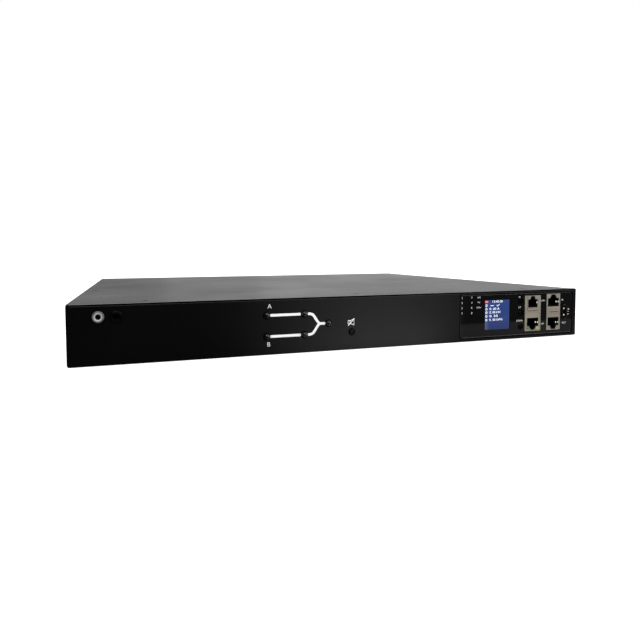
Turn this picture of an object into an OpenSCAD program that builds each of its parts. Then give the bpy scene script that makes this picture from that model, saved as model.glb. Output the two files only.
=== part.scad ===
// Rack static transfer switch, one rack unit high: two mains inlets, eight outlets,
// a solid-state change-over stage and a controller with a display.
// X runs to the right seen from the front, Y runs to the rear and Z runs up.
// The origin lies under the middle of the case, on the surface it rests on.

/* [Case] */
// Width of the case
case_w = 440; // [436:1:446]
// Depth from the front face to the rear face
case_d = 393; // [386:1:420]
// Height of the front panel
case_h = 44; // [43.6:0.1:46]
// Thickness of the folded steel sheet
sheet_t = 1.2; // [1:0.1:1.4]
// Outer radius of the folds
fold_r = 1.8; // [1.6:0.1:2.4]
// Width of the tray flanges that carry the lid
lid_flange_w = 14; // [12:1:16]
// Step from the top edge of the front panel down to the lid
lid_step = 0.4; // [0.2:0.1:0.8]
// Width of the tray tabs that the front panel is fixed to
tab_w = 7.5; // [6.5:0.5:7.5]

/* [Vents and ear holes] */
// Length of one vent slot
vent_l = 7; // [5:0.5:8.5]
// Height of one vent slot
vent_h = 2.4; // [1.6:0.1:3]
// Distance from slot to slot along a row
vent_pitch = 10.15; // [9.5:0.05:10.3]
// Number of slots in a row
vent_n = 29; // [10:1:30]
// Distance from row to row
vent_row_pitch = 6.2; // [4.5:0.1:6.5]
// Diameter of the holes for rack ears
ear_hole_d = 4; // [3.4:0.1:4.5]
// Distance between the two ear holes along the depth
ear_pitch_y = 23.5; // [20:0.5:24]
// Distance between the two ear holes in height
ear_pitch_z = 24; // [20:0.5:26]
// Front face to the first ear hole
ear_front = 12.5; // [11.5:0.5:13]
// Rear face to the last ear hole
ear_rear = 22.5; // [21:0.5:23]

/* [Front panel] */
// Thickness of the front panel
panel_t = 3; // [2.6:0.1:4]
// Radius of the panel's corners
panel_corner_r = 2; // [1:0.1:3]
// Radius of the panel's front edges
panel_edge_r = 0.8; // [0.4:0.1:1.2]
// Space between the panel and the boards behind it
board_gap = 6; // [5.5:0.1:7]

/* [Display window] */
// Width of the window
window_w = 121; // [120:0.5:122]
// Strip of panel above and below the window
window_strip = 3.2; // [2.5:0.1:3.5]
// Thickness of the window
window_t = 1.5; // [1:0.1:1.8]
// Depth of the window's face below the panel's face
window_sink = 0.2; // [0.1:0.1:0.4]
// Strip of panel to the right of the window
window_margin = 5; // [4.5:0.1:5.5]
// Share of the window's width that the display glass takes
lcd_share_w = 0.2207; // [0.2:0.0001:0.23]
// Window above and below the display glass, together
lcd_room_h = 11.4; // [9.5:0.1:13.5]
// Rim of the display module around its glass
lcd_rim = 3.4; // [2.5:0.1:4]
// Diameter of a status lamp's light guide
guide_d = 1.8; // [1.4:0.1:2.2]
// Distance between the status lamps in height
guide_pitch = 4.5; // [4:0.1:4.6]

/* [Keys] */
// Diameter of the three keys beside the display
key_d = 4; // [3.4:0.1:4.4]
// Depth of those keys below the panel's face
key_sink = 0.5; // [0.3:0.1:0.9]
// Diameter of the mute key
mute_d = 4.3; // [3.8:0.1:4.8]
// Height of the mute key above the panel's face
mute_proud = 0.6; // [0.2:0.1:1]
// Travel of each key
key_travel = 0.5; // [0.3:0.1:0.7]
// Radial gap between a key and its hole
key_gap = 0.3; // [0.25:0.05:0.5]
// Width by which a key's collar overlaps its hole
key_collar = 0.7; // [0.5:0.1:1]
// Thickness of a key's collar
key_collar_t = 0.8; // [0.6:0.1:1]
// Height of a switch body on its board
switch_h = 3.1; // [2.5:0.1:3.2]

/* [Mimic lamps] */
// Diameter of a mimic lamp
mimic_d = 5; // [4:0.1:5.6]
// Height of a mimic lamp's dome above the panel
mimic_proud = 3; // [2.8:0.1:4]
// Height of either source line above or below the output lamp
mimic_half = 8.2; // [7:0.1:10]

/* [Signal sockets] */
// Diameter of the ring nuts of the two round jacks
jack_nut_d = 9; // [8:0.1:10]
// Diameter of the round jacks' bushings
jack_bush_d = 6; // [5.4:0.1:6.6]
// Diameter of the round jacks' bores
jack_bore_d = 3.5; // [3:0.1:4]
// Height of the ring nuts
jack_nut_t = 1.8; // [1.4:0.1:2.4]
// Distance between the two round jacks
jack_pitch = 12; // [11:0.5:14]
// Share of the window's width that the left shields take
left_shield_share = 0.1438; // [0.137:0.0001:0.149]
// Share of the window's width that the right twin shield takes
twin_shield_share = 0.12645; // [0.119:0.00005:0.135]
// Air between the right twin shield and the lid
shield_air = 2.8; // [2.6:0.1:3.6]
// Step from the top of the twin shield down to the top of the left shields
shield_step = 1; // [0:0.1:1.4]
// Share of the left shields' height that the lower one takes
lower_shield_share = 0.571; // [0.56:0.001:0.575]
// Depth of the shields
shield_d = 21; // [18:0.5:24]
// Thickness of the shields
shield_t = 0.4; // [0.3:0.05:0.5]
// Depth of a modular jack's cavity
port_d = 12.5; // [11:0.1:14]
// Width of the sensor socket's collar
sensor_w = 5; // [4.6:0.1:5.4]
// Height of the sensor socket's collar
sensor_h = 13.4; // [12.6:0.1:14]

/* [Rear panel] */
// Thickness of the rear panel
rear_t = 1.5; // [1.2:0.1:2]
// Depth of the rear panel's lid flange and side tongues
rear_flange_d = 28; // [27:0.5:32]
// Height of the rear panel's side tongues
tongue_h = 16.8; // [12:0.1:17]
// Middle of each inlet from the side of the case
inlet_edge = 28.5; // [27:0.5:29]
// Width of an inlet's cavity
inlet_w = 30; // [29.5:0.1:30.5]
// Height of an inlet's cavity
inlet_h = 21; // [20.5:0.1:21.5]
// Wall of an inlet's housing
inlet_wall = 1.8; // [1.4:0.1:1.9]
// Width of an inlet's flange beyond its housing
inlet_lip = 1.4; // [1:0.1:1.6]
// Thickness of an inlet's flange
inlet_proud = 2.3; // [2:0.1:2.8]
// Depth of an inlet's housing behind the rear face
inlet_d = 24; // [20:0.5:26]
// Middle of each inlet to the middle of its nearest outlet
inlet_outlet = 53.25; // [53:0.05:54.5]
// Gap between neighbouring outlets
outlet_gap = 2.7; // [2.2:0.1:3.4]
// Case above and below an outlet's face, together
outlet_room_h = 9.3; // [8.6:0.1:10]
// Height of an outlet's face above the rear panel
outlet_proud = 3; // [2.9:0.1:3.4]
// Depth of an outlet's housing behind the rear face
outlet_d = 20; // [17:0.5:22]
// Depth of an outlet's slots
slot_d = 14; // [12:0.5:16]
// Width of an outlet's slots
slot_w = 2.5; // [2.2:0.1:2.8]

/* [Inside] */
// Thickness of the circuit boards
board_t = 1.6; // [1.2:0.1:2]
// Height of the power and control boards above the rest surface
board_z = 8; // [7:0.1:8.4]
// Height of the communication board above the rest surface
comm_z = 4.6; // [4.4:0.1:4.8]
// Thickness of the insulation sheet
insulation_t = 0.4; // [0.2:0.1:0.6]
// Height of a thyristor module
thyristor_h = 12; // [10:0.5:13]
// Thickness of a heatsink's base
sink_base_t = 5; // [4:0.5:6]
// Air between a heatsink's fins and the lid
sink_air = 3.8; // [3:0.1:8]
// Thickness of a heatsink's fins
sink_fin_t = 1.6; // [1:0.1:2]
// Number of fins on a heatsink
sink_fins = 14; // [6:1:16]

/* [Screws] */
// Diameter of the case and board screws
screw_d = 3; // [2.6:0.1:3]
// Diameter of a countersunk head
head_d = 5.6; // [5.2:0.1:6]
// Outer lid screws of the front row to the sides of the case, on average
front_screw_side = 49; // [45:1:70]
// Outer lid screws of the rear row to the sides of the case, on average
rear_screw_side = 67; // [60:1:80]

/* [Hidden] */
$fn = 48;

// Clearance between fixed pieces that slip into each other
gap = 0.2;
front_y = -case_d/2;
rear_y = case_d/2;
mid_z = case_h/2;
lid_z = case_h - lid_step - sheet_t;      // underside of the lid, top of the tray
wall_x = case_w/2 - sheet_t;              // inner face of a side wall
panel_back = front_y + panel_t;
board_y = panel_back + board_gap;         // front face of the upright boards
screw_hole_d = screw_d + gap;

// Display window and what it frames; columns stand at shares of its width from its middle
window_x = case_w/2 - window_margin - window_w/2;
window_h = case_h - 2*window_strip;
lcd_x = window_x - 0.18554*window_w;
lcd_z = mid_z + 0.9;
lcd_w = lcd_share_w*window_w;
lcd_h = window_h - lcd_room_h;
guide_x = [window_x - 0.4562*window_w, window_x - 0.3752*window_w];
guide_z = mid_z + window_h/2 - 8.7;
guide_at = [for (x = guide_x, i = [0:3]) [x, guide_z + (i - 1.5)*guide_pitch]];
key_x = window_x + 0.0223*window_w;
key_z = [mid_z + window_h/3, mid_z + 1, mid_z - 11];
upright_h = window_h - 0.6;               // height of the boards behind the panel

// Mute key and mimic lamps: two sources, each with an input and a switch lamp, and the output
mute_x = -7.9;
mute_z = mid_z - 7.5;
mimic_z = mid_z + 0.5;
mimic_at = [
    [-78.3, mimic_z + mimic_half], [-48, mimic_z + mimic_half],
    [-78.3, mimic_z - mimic_half], [-48, mimic_z - mimic_half],
    [-28, mimic_z]
];

// Round jacks
round_jack_x = -case_w/2 + 21;
round_jack_z = case_h - 9.3;
jack_body = [9, 10, 10];

// Modular jacks: middle of each shield, its foot and its size
comm_top = comm_z + board_t;
seam = 0.1;                               // between the two left shields
twin_shield_w = twin_shield_share*window_w;
twin_shield_h = lid_z - shield_air - comm_top;
left_shield_w = left_shield_share*window_w;
left_shields_h = twin_shield_h - shield_step;
lower_shield_h = lower_shield_share*left_shields_h;
upper_shield_h = left_shields_h - lower_shield_h;
left_x = window_x + 0.1339*window_w;
twin_x = window_x + 0.3252*window_w;
network_box = [left_x, comm_top, left_shield_w, lower_shield_h];
serial_box = [left_x, comm_top + lower_shield_h + seam, left_shield_w, upper_shield_h - seam];
link_box = [twin_x, comm_top, twin_shield_w, twin_shield_h];
shield_y = front_y + 0.15;

// Ports: X, height of the contact wall, +1 latch up or -1 latch down, kind
RJ45 = [11.7, 6.8, 6.2, 1.65, 8];         // cavity width and height, latch step width and height, wires
RJ12 = [9.6, 6.6, 4.8, 1.5, 6];
function wall_to_tip(kind) = kind[1] + 2*kind[3];  // from the contact wall to the end of the latch
network_port = [left_x, comm_top + 1.4 + wall_to_tip(RJ45), -1, RJ45];
serial_port = [left_x, serial_box[1] + serial_box[3] - 0.9 - wall_to_tip(RJ12), 1, RJ12];
link_low_port = [twin_x, comm_top + 1 + wall_to_tip(RJ45), -1, RJ45];
link_high_port = [twin_x, comm_top + twin_shield_h - 1.2 - wall_to_tip(RJ45), 1, RJ45];
ports = [network_port, serial_port, link_low_port, link_high_port];
shield_rim = 0.5;                         // by which a shield's opening is wider than the cavity behind it
port_lamp = [2.6, 3, 1.8];
port_lamp_z = comm_top + 2.5;
port_lamp_x = 5.3;

// Sensor socket
sensor_x = window_x + window_w/2 - 8.8;
sensor_z = mid_z + 0.5;
sensor_proud = 0.6;
sensor_wall = 0.8;
sensor_bore_d = 8;

// Rows of vents and rack ear holes
vent_z = mid_z - 1.2;
ear_z = mid_z;

// Rear side
inlet_x = case_w/2 - inlet_edge;
inlet_z = mid_z - 0.7;
inlet_body_w = inlet_w + 2*inlet_wall;
inlet_body_h = inlet_h + 2*inlet_wall;
outlets = 8;
outlet_pitch = 2*(inlet_x - inlet_outlet)/(outlets - 1);
outlet_w = outlet_pitch - outlet_gap;
outlet_h = case_h - outlet_room_h;
outlet_z = mid_z - 0.25;
outlet_body_w = outlet_w - 3.8;
outlet_body_h = outlet_h - 3.7;
tongue_z = mid_z - 0.2;
side_screw_y = rear_y - 18.3;
tongue_slot_y = rear_y - 13.5;
rail_t = 1;

// Lid screws: front row, rear row and one pair on each side flange
front_screw_y = front_y + 19;
rear_screw_y = rear_y - 24;
side_row_x = case_w/2 - 9;
front_row = [for (i = [-1:1]) [4 + i*(case_w/2 - front_screw_side), front_screw_y]];
rear_row = [for (i = [-1:1]) [-5 + i*(case_w/2 - rear_screw_side), rear_screw_y]];
side_rows = [for (sx = [-1, 1], sy = [-1, 1]) [sx*side_row_x, 17 + sy*66]];
head_t = sheet_t - 0.1;                   // depth of a countersunk head
screw_l = 4;

// Boards: left, front, right and rear edge
board_side = 14;                          // from the side of the case to a board
power_edge = [-case_w/2 + board_side, front_y + 46.5, case_w/5, rear_y - 71.5];
control_edge = [case_w/5 + 10, front_y + 86.5, case_w/2 - board_side, rear_y - 136.5];
comm_edge = [key_x + 3.3 + gap, panel_back + 0.6, sensor_x + 3.2, front_y + 72];
board_top = board_z + board_t;
power_w = power_edge[2] - power_edge[0];
power_holes = [
    for (x = [power_edge[0] + 7, power_edge[0] + power_w/2 - 1, power_edge[2] - 7])
    for (y = [power_edge[1] + 7, power_edge[3] - 7]) [x, y]
];
control_holes = [
    for (x = [control_edge[0] + 6, control_edge[2] - 6])
    for (y = [control_edge[1] + 6, control_edge[3] - 6]) [x, y]
];
comm_holes = [
    for (x = [comm_edge[0] + 5, comm_edge[2] - 5]) [x, comm_edge[3] - 5],
    [(left_x + twin_x)/2, comm_edge[1] + 29]
];
standoff_d = 5.6;
glue_t = 0.05;                            // between the tray floor and the insulation sheet
sink_w = 0.381*power_w;
sink_d = 108;
sink_at = [for (share = [0.238, 0.66]) [power_edge[0] + share*power_w, -26]];
module_size = [26, 38];
sink_z = board_top + thyristor_h;
sink_fin_h = lid_z - sink_air - sink_base_t - sink_z;

// ---- Outlines and shapes that repeat ----

// Rectangle with round corners, about its middle
module round_rect(w, h, r) {
    square([w - 2*r, h], center = true);
    square([w, h - 2*r], center = true);
    for (sx = [-1, 1], sy = [-1, 1]) translate([sx*(w/2 - r), sy*(h/2 - r)]) circle(r);
}

// Slot with round ends, about its middle
module oblong(l, w) {
    square([l - w, w], center = true);
    for (s = [-1, 1]) translate([s*(l - w)/2, 0]) circle(w/2);
}

// Runs an outline drawn in X and Z back from y over the length l
module back_from(y, l) {
    translate([0, y + l, 0]) rotate([90, 0, 0]) linear_extrude(l) children();
}

// Runs an outline drawn in Y and Z to the right from x over the length l
module right_from(x, l) {
    translate([x, 0, 0]) rotate([90, 0, 90]) linear_extrude(l) children();
}

// Round bar along Y, from y over the length l
module rod(x, z, y, d, l) {
    translate([x, y, z]) rotate([-90, 0, 0]) cylinder(d = d, h = l);
}

// Strip of length l and depth t whose two front corners are round
module soft_edge(l, t, r) {
    translate([0, r + (t - r)/2]) square([l, t - r], center = true);
    translate([0, t/2]) square([l - 2*r, t], center = true);
    for (s = [-1, 1]) translate([s*(l/2 - r), r]) circle(r);
}

// Upright plate with round corners and softened front edges; its face is at y = 0
module soft_plate(w, h, t, corner_r, edge_r) {
    intersection() {
        back_from(0, t) round_rect(w, h, corner_r);
        translate([0, 0, -h/2 - 1]) linear_extrude(h + 2) soft_edge(w, t, edge_r);
        right_from(-w/2 - 1, w + 2) mirror([1, -1]) soft_edge(h, t, edge_r);
    }
}

// Countersunk head and shank hanging down from z = 0, with room around them
module countersunk(room) {
    translate([0, 0, -head_t]) cylinder(d1 = screw_d + 2*room, d2 = head_d + 2*room, h = head_t);
    translate([0, 0, -screw_l]) cylinder(d = screw_d + 2*room, h = screw_l);
}

// Countersunk screw with a cross recess
module countersunk_screw() {
    difference() {
        countersunk(0);
        for (a = [0, 90]) rotate(a) cube([3, 0.6, 1.4], center = true);
    }
}

// Places children at a screw in the left and the right wall, pointing inwards along -Z
module at_side_screws() {
    for (s = [-1, 1]) translate([s*case_w/2, side_screw_y, tongue_z - 0.5]) rotate([0, s*90, 0]) children();
}

// Holes for lid screws in a flange under the lid
module flange_holes(places) {
    for (p = places) translate([p[0], p[1], lid_z - sheet_t - 1]) cylinder(d = screw_hole_d, h = sheet_t + 2);
}

// Circuit board lying flat between its edges, with a hole at each place
module flat_board(edge, z, holes) {
    difference() {
        translate([edge[0], edge[1], z]) cube([edge[2] - edge[0], edge[3] - edge[1], board_t]);
        for (p = holes) translate([p[0], p[1], z - 1]) cylinder(d = screw_d + 2*gap, h = board_t + 2);
    }
}

// Modular port opening with a rim around it; the contact wall lies on the X axis and the latch points up
module port_outline(kind, rim) {
    half = [kind[0]/2, kind[2]/2, kind[2]/3];
    for (i = [0:2]) translate([-half[i] - rim, -rim])
        square([2*(half[i] + rim), kind[1] + i*kind[3] + 2*rim]);
}

module port_cuts(rim) {
    for (p = ports) back_from(shield_y - 1, port_d + 1)
        translate([p[0], p[1]]) rotate(p[2] > 0 ? 0 : 180) port_outline(p[3], rim);
}

// Block standing on a foot height; box is X, foot, width, height
module jack_block(box, y, l, inset) {
    translate([box[0] - box[2]/2 + inset, y, box[1] + inset])
        cube([box[2] - 2*inset, l, box[3] - 2*inset]);
}

module network_lamp_pockets(room) {
    for (s = [-1, 1])
        translate([left_x + s*port_lamp_x, shield_y + port_lamp[1]/2 - room, port_lamp_z])
            cube([port_lamp[0] + 2*room, port_lamp[1] + 2*room, port_lamp[2] + 2*room], center = true);
}

// ---- Case ----

module tray_outline() {
    translate([0, lid_z/2]) difference() {
        round_rect(case_w, lid_z, fold_r);
        round_rect(case_w - 2*sheet_t, lid_z - 2*sheet_t, fold_r - sheet_t);
        translate([0, lid_z/2]) square([case_w - 2*lid_flange_w, 4*sheet_t], center = true);
    }
}

module ear_holes() {
    for (y = [front_y + ear_front, front_y + ear_front + ear_pitch_y,
              rear_y - ear_rear, rear_y - ear_rear - ear_pitch_y], s = [-1, 1])
        translate([-case_w/2 - 1, y, ear_z + s*ear_pitch_z/2])
            rotate([0, 90, 0]) cylinder(d = ear_hole_d, h = case_w + 2);
}

module chassis_tray() {
    tab_h = lid_z - 2*sheet_t - 2;
    color("dimgray") difference() {
        union() {
            back_from(panel_back, case_d - panel_t - rear_t) tray_outline();
            for (s = [-1, 1])
                translate([s*(wall_x - tab_w/2 + 0.3), panel_back + sheet_t/2, sheet_t + 1 + tab_h/2])
                    cube([tab_w + 0.6, sheet_t, tab_h], center = true);
        }
        right_from(-case_w/2 - 1, case_w + 2)
            for (i = [0:vent_n - 1], j = [-1:1])
                translate([-2.5 + (i - (vent_n - 1)/2)*vent_pitch, vent_z + j*vent_row_pitch])
                    oblong(vent_l, vent_h);
        ear_holes();
        right_from(-case_w/2 - 1, case_w + 2) translate([tongue_slot_y, tongue_z])
            square([1, tongue_h], center = true);
        at_side_screws() countersunk(gap/2);
        flange_holes(side_rows);
        for (sx = [-1, 1], sz = [-1, 1])
            rod(sx*stud_x, mid_z + sz*stud_half, panel_back - 1, screw_hole_d, sheet_t + 2);
    }
}

stud_x = wall_x - tab_w/2;
stud_half = mid_z - 8;

module front_rail() {
    leg = [case_w - 2*lid_flange_w - 2*gap, 22, sheet_t];
    y = panel_back + sheet_t + 0.5;
    color("gray") difference() {
        union() {
            translate([-leg[0]/2, y, lid_z - sheet_t]) cube(leg);
            translate([-leg[0]/2 + 10, y + leg[1] - sheet_t, lid_z - 8]) cube([leg[0] - 20, sheet_t, 8]);
            for (s = [-1, 1]) translate([s*(wall_x - 14), y + leg[1]/2, lid_z - 1.5*sheet_t])
                cube([24, leg[1], sheet_t], center = true);
        }
        for (s = [-1, 1]) translate([s*(wall_x - 2 - lid_flange_w/2), y + leg[1]/2, lid_z - sheet_t/2])
            cube([lid_flange_w + 4 + 2*gap, leg[1] + 1, sheet_t], center = true);
        flange_holes(front_row);
    }
}

module rear_panel() {
    flange_w = case_w - 2*lid_flange_w - 2*gap;
    color("dimgray") difference() {
        union() {
            translate([0, rear_y, lid_z/2]) mirror([0, 1, 0])
                soft_plate(case_w, lid_z, rear_t, fold_r, rear_t - 0.2);
            translate([-flange_w/2, rear_y - rear_flange_d, lid_z - sheet_t])
                cube([flange_w, rear_flange_d - rear_t/2, sheet_t]);
            for (s = [-1, 1])
                translate([s*(wall_x - sheet_t/2), rear_y - rear_flange_d/2 - rear_t/4, tongue_z])
                    cube([sheet_t, rear_flange_d - rear_t/2, tongue_h], center = true);
        }
        for (s = [-1, 1]) back_from(rear_y - rear_t - 1, rear_t + 2) translate([s*inlet_x, inlet_z])
            square([inlet_body_w + 2*gap, inlet_body_h + 2*gap], center = true);
        back_from(rear_y - rear_t - 1, rear_t + 2)
            for (i = [0:outlets - 1]) translate([outlet_x(i), outlet_z])
                square([outlet_body_w + 2*gap, outlet_body_h + 2*gap], center = true);
        flange_holes(rear_row);
        at_side_screws() translate([0, 0, -10]) cylinder(d = screw_hole_d, h = 12);
    }
}

module top_cover() {
    front = panel_back + gap;
    color("gray") difference() {
        translate([-case_w/2, front, lid_z]) cube([case_w, rear_y - front, sheet_t]);
        for (p = concat(front_row, rear_row, side_rows))
            translate([p[0], p[1], lid_z + sheet_t]) countersunk(gap/2);
    }
}

// ---- Front ----

// What passes through both the window and the panel floor behind it
module window_cuts() {
    translate([lcd_x, lcd_z]) square([lcd_w + 2*gap, lcd_h + 2*gap], center = true);
    for (z = key_z) translate([key_x, z]) circle(d = key_d + 2*key_gap);
    translate([left_x, comm_top + (lower_shield_h + upper_shield_h)/2])
        square([left_shield_w + 2*gap, lower_shield_h + upper_shield_h + 2*gap], center = true);
    translate([twin_x, comm_top + twin_shield_h/2])
        square([twin_shield_w + 2*gap, twin_shield_h + 2*gap], center = true);
    translate([sensor_x, sensor_z]) rotate(90) oblong(sensor_h + 2*gap, sensor_w + 2*gap);
}

// Bosses behind the panel that carry the two upright boards
boss_at = [
    [guide_x[0] + 4, mid_z - 13.5], [guide_x[0] + 4, mid_z - 3],
    [lcd_x + lcd_w/2 + 6.1, mid_z - 5.2], [lcd_x + lcd_w/2 + 6.1, mid_z + 6.8],
    [-64, mid_z + 14], [-64, mid_z - 14], [-14, mid_z + 14], [-18, mid_z - 14]
];
boss_d = 3.8;
boss_bore_d = 2;

module front_panel() {
    color([0.16, 0.16, 0.17]) union() {
        difference() {
            translate([0, front_y, mid_z])
                soft_plate(case_w, case_h, panel_t, panel_corner_r, panel_edge_r);
            back_from(front_y - 1, 1 + window_sink + window_t) translate([window_x, mid_z])
                round_rect(window_w + gap, window_h + gap, 2.6);
            back_from(front_y, panel_t + 1) window_cuts();
            back_from(front_y, panel_t + 1) for (p = guide_at) translate(p) circle(d = guide_d + 2*gap);
            back_from(front_y - 1, panel_t + 2) {
                for (p = mimic_at) translate(p) circle(d = mimic_d + gap);
                translate([mute_x, mute_z]) circle(d = mute_d + 2*key_gap);
                for (i = [0, 1]) translate([round_jack_x + i*jack_pitch, round_jack_z])
                    circle(d = jack_bush_d + gap);
            }
        }
        for (sx = [-1, 1], sz = [-1, 1]) rod(sx*stud_x, mid_z + sz*stud_half, panel_back - 0.5, screw_d, 6);
        for (p = boss_at) difference() {
            rod(p[0], p[1], panel_back - 0.5, boss_d, board_gap + 0.5);
            rod(p[0], p[1], panel_back + board_gap - 4, boss_bore_d, 5);
        }
    }
}

module display_window() {
    color([0.05, 0.05, 0.06]) difference() {
        back_from(front_y + window_sink, window_t) translate([window_x, mid_z])
            round_rect(window_w, window_h, 2.5);
        back_from(front_y, panel_t) window_cuts();
    }
}

module lcd_module() {
    frame_w = lcd_w + 2*lcd_rim;
    frame_h = lcd_h + 2*lcd_rim;
    color("midnightblue") union() {
        back_from(front_y + 0.5, panel_t) translate([lcd_x, lcd_z]) square([lcd_w, lcd_h], center = true);
        back_from(panel_back, board_gap) translate([lcd_x, lcd_z])
            square([frame_w, frame_h], center = true);
    }
}

module upright_board(x0, x1, holes) {
    difference() {
        translate([x0, board_y, mid_z - upright_h/2]) cube([x1 - x0, board_t, upright_h]);
        for (p = holes) rod(p[0], p[1], board_y - 1, boss_bore_d + gap, board_t + 2);
    }
}

module display_board() {
    color("darkgreen") upright_board(guide_x[0] - 3.5, key_x + 3.3, [for (i = [0:3]) boss_at[i]]);
}

module mimic_board() {
    color("darkgreen") upright_board(-86, 0, [for (i = [4:7]) boss_at[i]]);
}

module status_guides() {
    y = front_y + window_sink + window_t;
    color("white") for (p = guide_at) rod(p[0], p[1], y, guide_d, board_y - y);
}

// Domed lamp on two legs
module mimic_lamp(x, z) {
    dome_r = mimic_d/2;
    union() {
        translate([x, front_y - mimic_proud + dome_r, z]) sphere(dome_r);
        rod(x, z, front_y - mimic_proud + dome_r, mimic_d, mimic_proud - dome_r + panel_t + 0.5);
        rod(x, z, panel_back, mimic_d + 0.9, 1);
        for (s = [-1, 1]) translate([x + s*1.27, panel_back + board_gap/2, z])
            cube([0.5, board_gap, 0.5], center = true);
    }
}

module mimic_lamps() {
    color([0.2, 0.2, 0.2]) for (p = mimic_at) mimic_lamp(p[0], p[1]);
}

// Key with a collar behind the panel and a stem towards its switch; face_y is its front
module key_plunger(x, z, d, face_y) {
    stem_end = board_y - switch_h - 0.6 - key_travel - 0.1;
    collar_r = d/2 + key_gap + key_collar;
    union() {
        translate([x, 0, z]) rotate([-90, 0, 0]) rotate_extrude() polygon([
            [0, face_y], [d/2 - 0.3, face_y], [d/2, face_y + 0.3], [d/2, panel_back],
            [collar_r, panel_back], [collar_r, panel_back + key_collar_t],
            [1.2, panel_back + key_collar_t], [1.2, stem_end], [0, stem_end]
        ]);
    }
}

module menu_key() { color("black") key_plunger(key_x, key_z[0], key_d, front_y + key_sink); }
module up_key() { color("black") key_plunger(key_x, key_z[1], key_d, front_y + key_sink); }
module down_key() { color("black") key_plunger(key_x, key_z[2], key_d, front_y + key_sink); }
module mute_key() { color("black") key_plunger(mute_x, mute_z, mute_d, front_y - mute_proud); }

module key_switches() {
    places = concat([for (z = key_z) [key_x, z]], [[mute_x, mute_z]]);
    color("silver") for (p = places) union() {
        back_from(board_y - switch_h, switch_h) translate(p) square(6, center = true);
        rod(p[0], p[1], board_y - switch_h - 0.6, 3.2, 1);
    }
}

// ---- Signal sockets ----

// Panel jack: housing, threaded bushing and bore
module round_jack(x) {
    difference() {
        union() {
            translate([x - jack_body[0]/2, panel_back, round_jack_z - jack_body[2]/2]) cube(jack_body);
            rod(x, round_jack_z, front_y - jack_nut_t, jack_bush_d, panel_t + jack_nut_t + 1);
        }
        rod(x, round_jack_z, front_y - jack_nut_t - 1, jack_bore_d, 11);
    }
}

// Ring nut with two spanner notches
module round_nut(x) {
    difference() {
        translate([x, front_y, round_jack_z]) rotate([90, 0, 0]) rotate_extrude() polygon([
            [jack_bush_d/2 + 0.05, 0], [jack_nut_d/2, 0], [jack_nut_d/2, jack_nut_t - 0.4],
            [jack_nut_d/2 - 0.4, jack_nut_t], [jack_bush_d/2 + 0.05, jack_nut_t]
        ]);
        translate([x, front_y - jack_nut_t, round_jack_z]) cube([jack_nut_d + 2, 1.2, 1], center = true);
    }
}

module metal_jack() { color("black") round_jack(round_jack_x); }
module metal_jack_nut() { color("silver") round_nut(round_jack_x); }
module black_jack() { color("black") round_jack(round_jack_x + jack_pitch); }
module black_jack_nut() { color([0.1, 0.1, 0.1]) round_nut(round_jack_x + jack_pitch); }

module jack_shield(box) {
    difference() {
        jack_block(box, shield_y, shield_d, 0);
        jack_block(box, shield_y + shield_t, shield_d - 2*shield_t, shield_t);
        port_cuts(shield_rim);
        network_lamp_pockets(0);
    }
}

module jack_shields() {
    color("silver") for (box = [network_box, serial_box, link_box]) jack_shield(box);
}

module jack_core(box) {
    color([0.1, 0.1, 0.1]) difference() {
        jack_block(box, shield_y + shield_t, shield_d - 2*shield_t, shield_t);
        port_cuts(0);
        network_lamp_pockets(0);
    }
}

module network_jack() { jack_core(network_box); }
module serial_jack() { jack_core(serial_box); }
module link_jack() { jack_core(link_box); }

// Spring wires that slope away from the contact wall towards the back of each port
module port_contacts() {
    wire = [0.45, port_d - 4, 0.45];
    slope = 8;
    color("gold") for (p = ports, i = [0:p[3][4] - 1])
        translate([p[0] + (i - (p[3][4] - 1)/2)*1.02, shield_y + 3.9, p[1] + p[2]*(0.3 + wire[2]/2)])
            rotate([p[2]*slope, 0, 0]) translate([-wire[0]/2, 0, -wire[2]/2]) cube(wire);
}

module port_lamps() {
    color("palegreen") network_lamp_pockets(0);
}

module comm_board() {
    color("darkgreen") flat_board(comm_edge, comm_z, comm_holes);
}

module sensor_socket() {
    body_d = 7;
    color([0.1, 0.1, 0.1]) difference() {
        union() {
            back_from(front_y - sensor_proud, sensor_proud + panel_t) translate([sensor_x, sensor_z])
                rotate(90) oblong(sensor_h, sensor_w);
            translate([sensor_x - 3, panel_back, comm_top])
                cube([6, body_d, sensor_z + sensor_h/2 + 1 - comm_top]);
        }
        back_from(front_y - sensor_proud - 1, sensor_bore_d + 1) translate([sensor_x, sensor_z])
            rotate(90) oblong(sensor_h - 2*sensor_wall, sensor_w - 2*sensor_wall);
    }
}

module sensor_pins() {
    l = sensor_bore_d - sensor_proud - 0.6;
    color("gold") for (s = [-1, 1]) rod(sensor_x, sensor_z + s*3.1, front_y + 0.6, 1.2, l);
}

// ---- Rear ----

function outlet_x(i) = ((outlets - 1)/2 - i)*outlet_pitch;

// Inlet opening: round upper corners and cut lower corners
module inlet_outline(w, h) {
    cut = 5;
    difference() {
        round_rect(w, h, 2.5);
        translate([0, -h/4 - 1]) square([w + 1, h/2 + 2], center = true);
    }
    polygon([
        [-w/2, 1.5], [-w/2, -h/2 + cut], [-w/2 + cut, -h/2],
        [w/2 - cut, -h/2], [w/2, -h/2 + cut], [w/2, 1.5]
    ]);
}

blade = [8, 2];
blade_at = [[0, 4.7], [-6.5, -3.1], [6.5, -3.1]];

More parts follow.
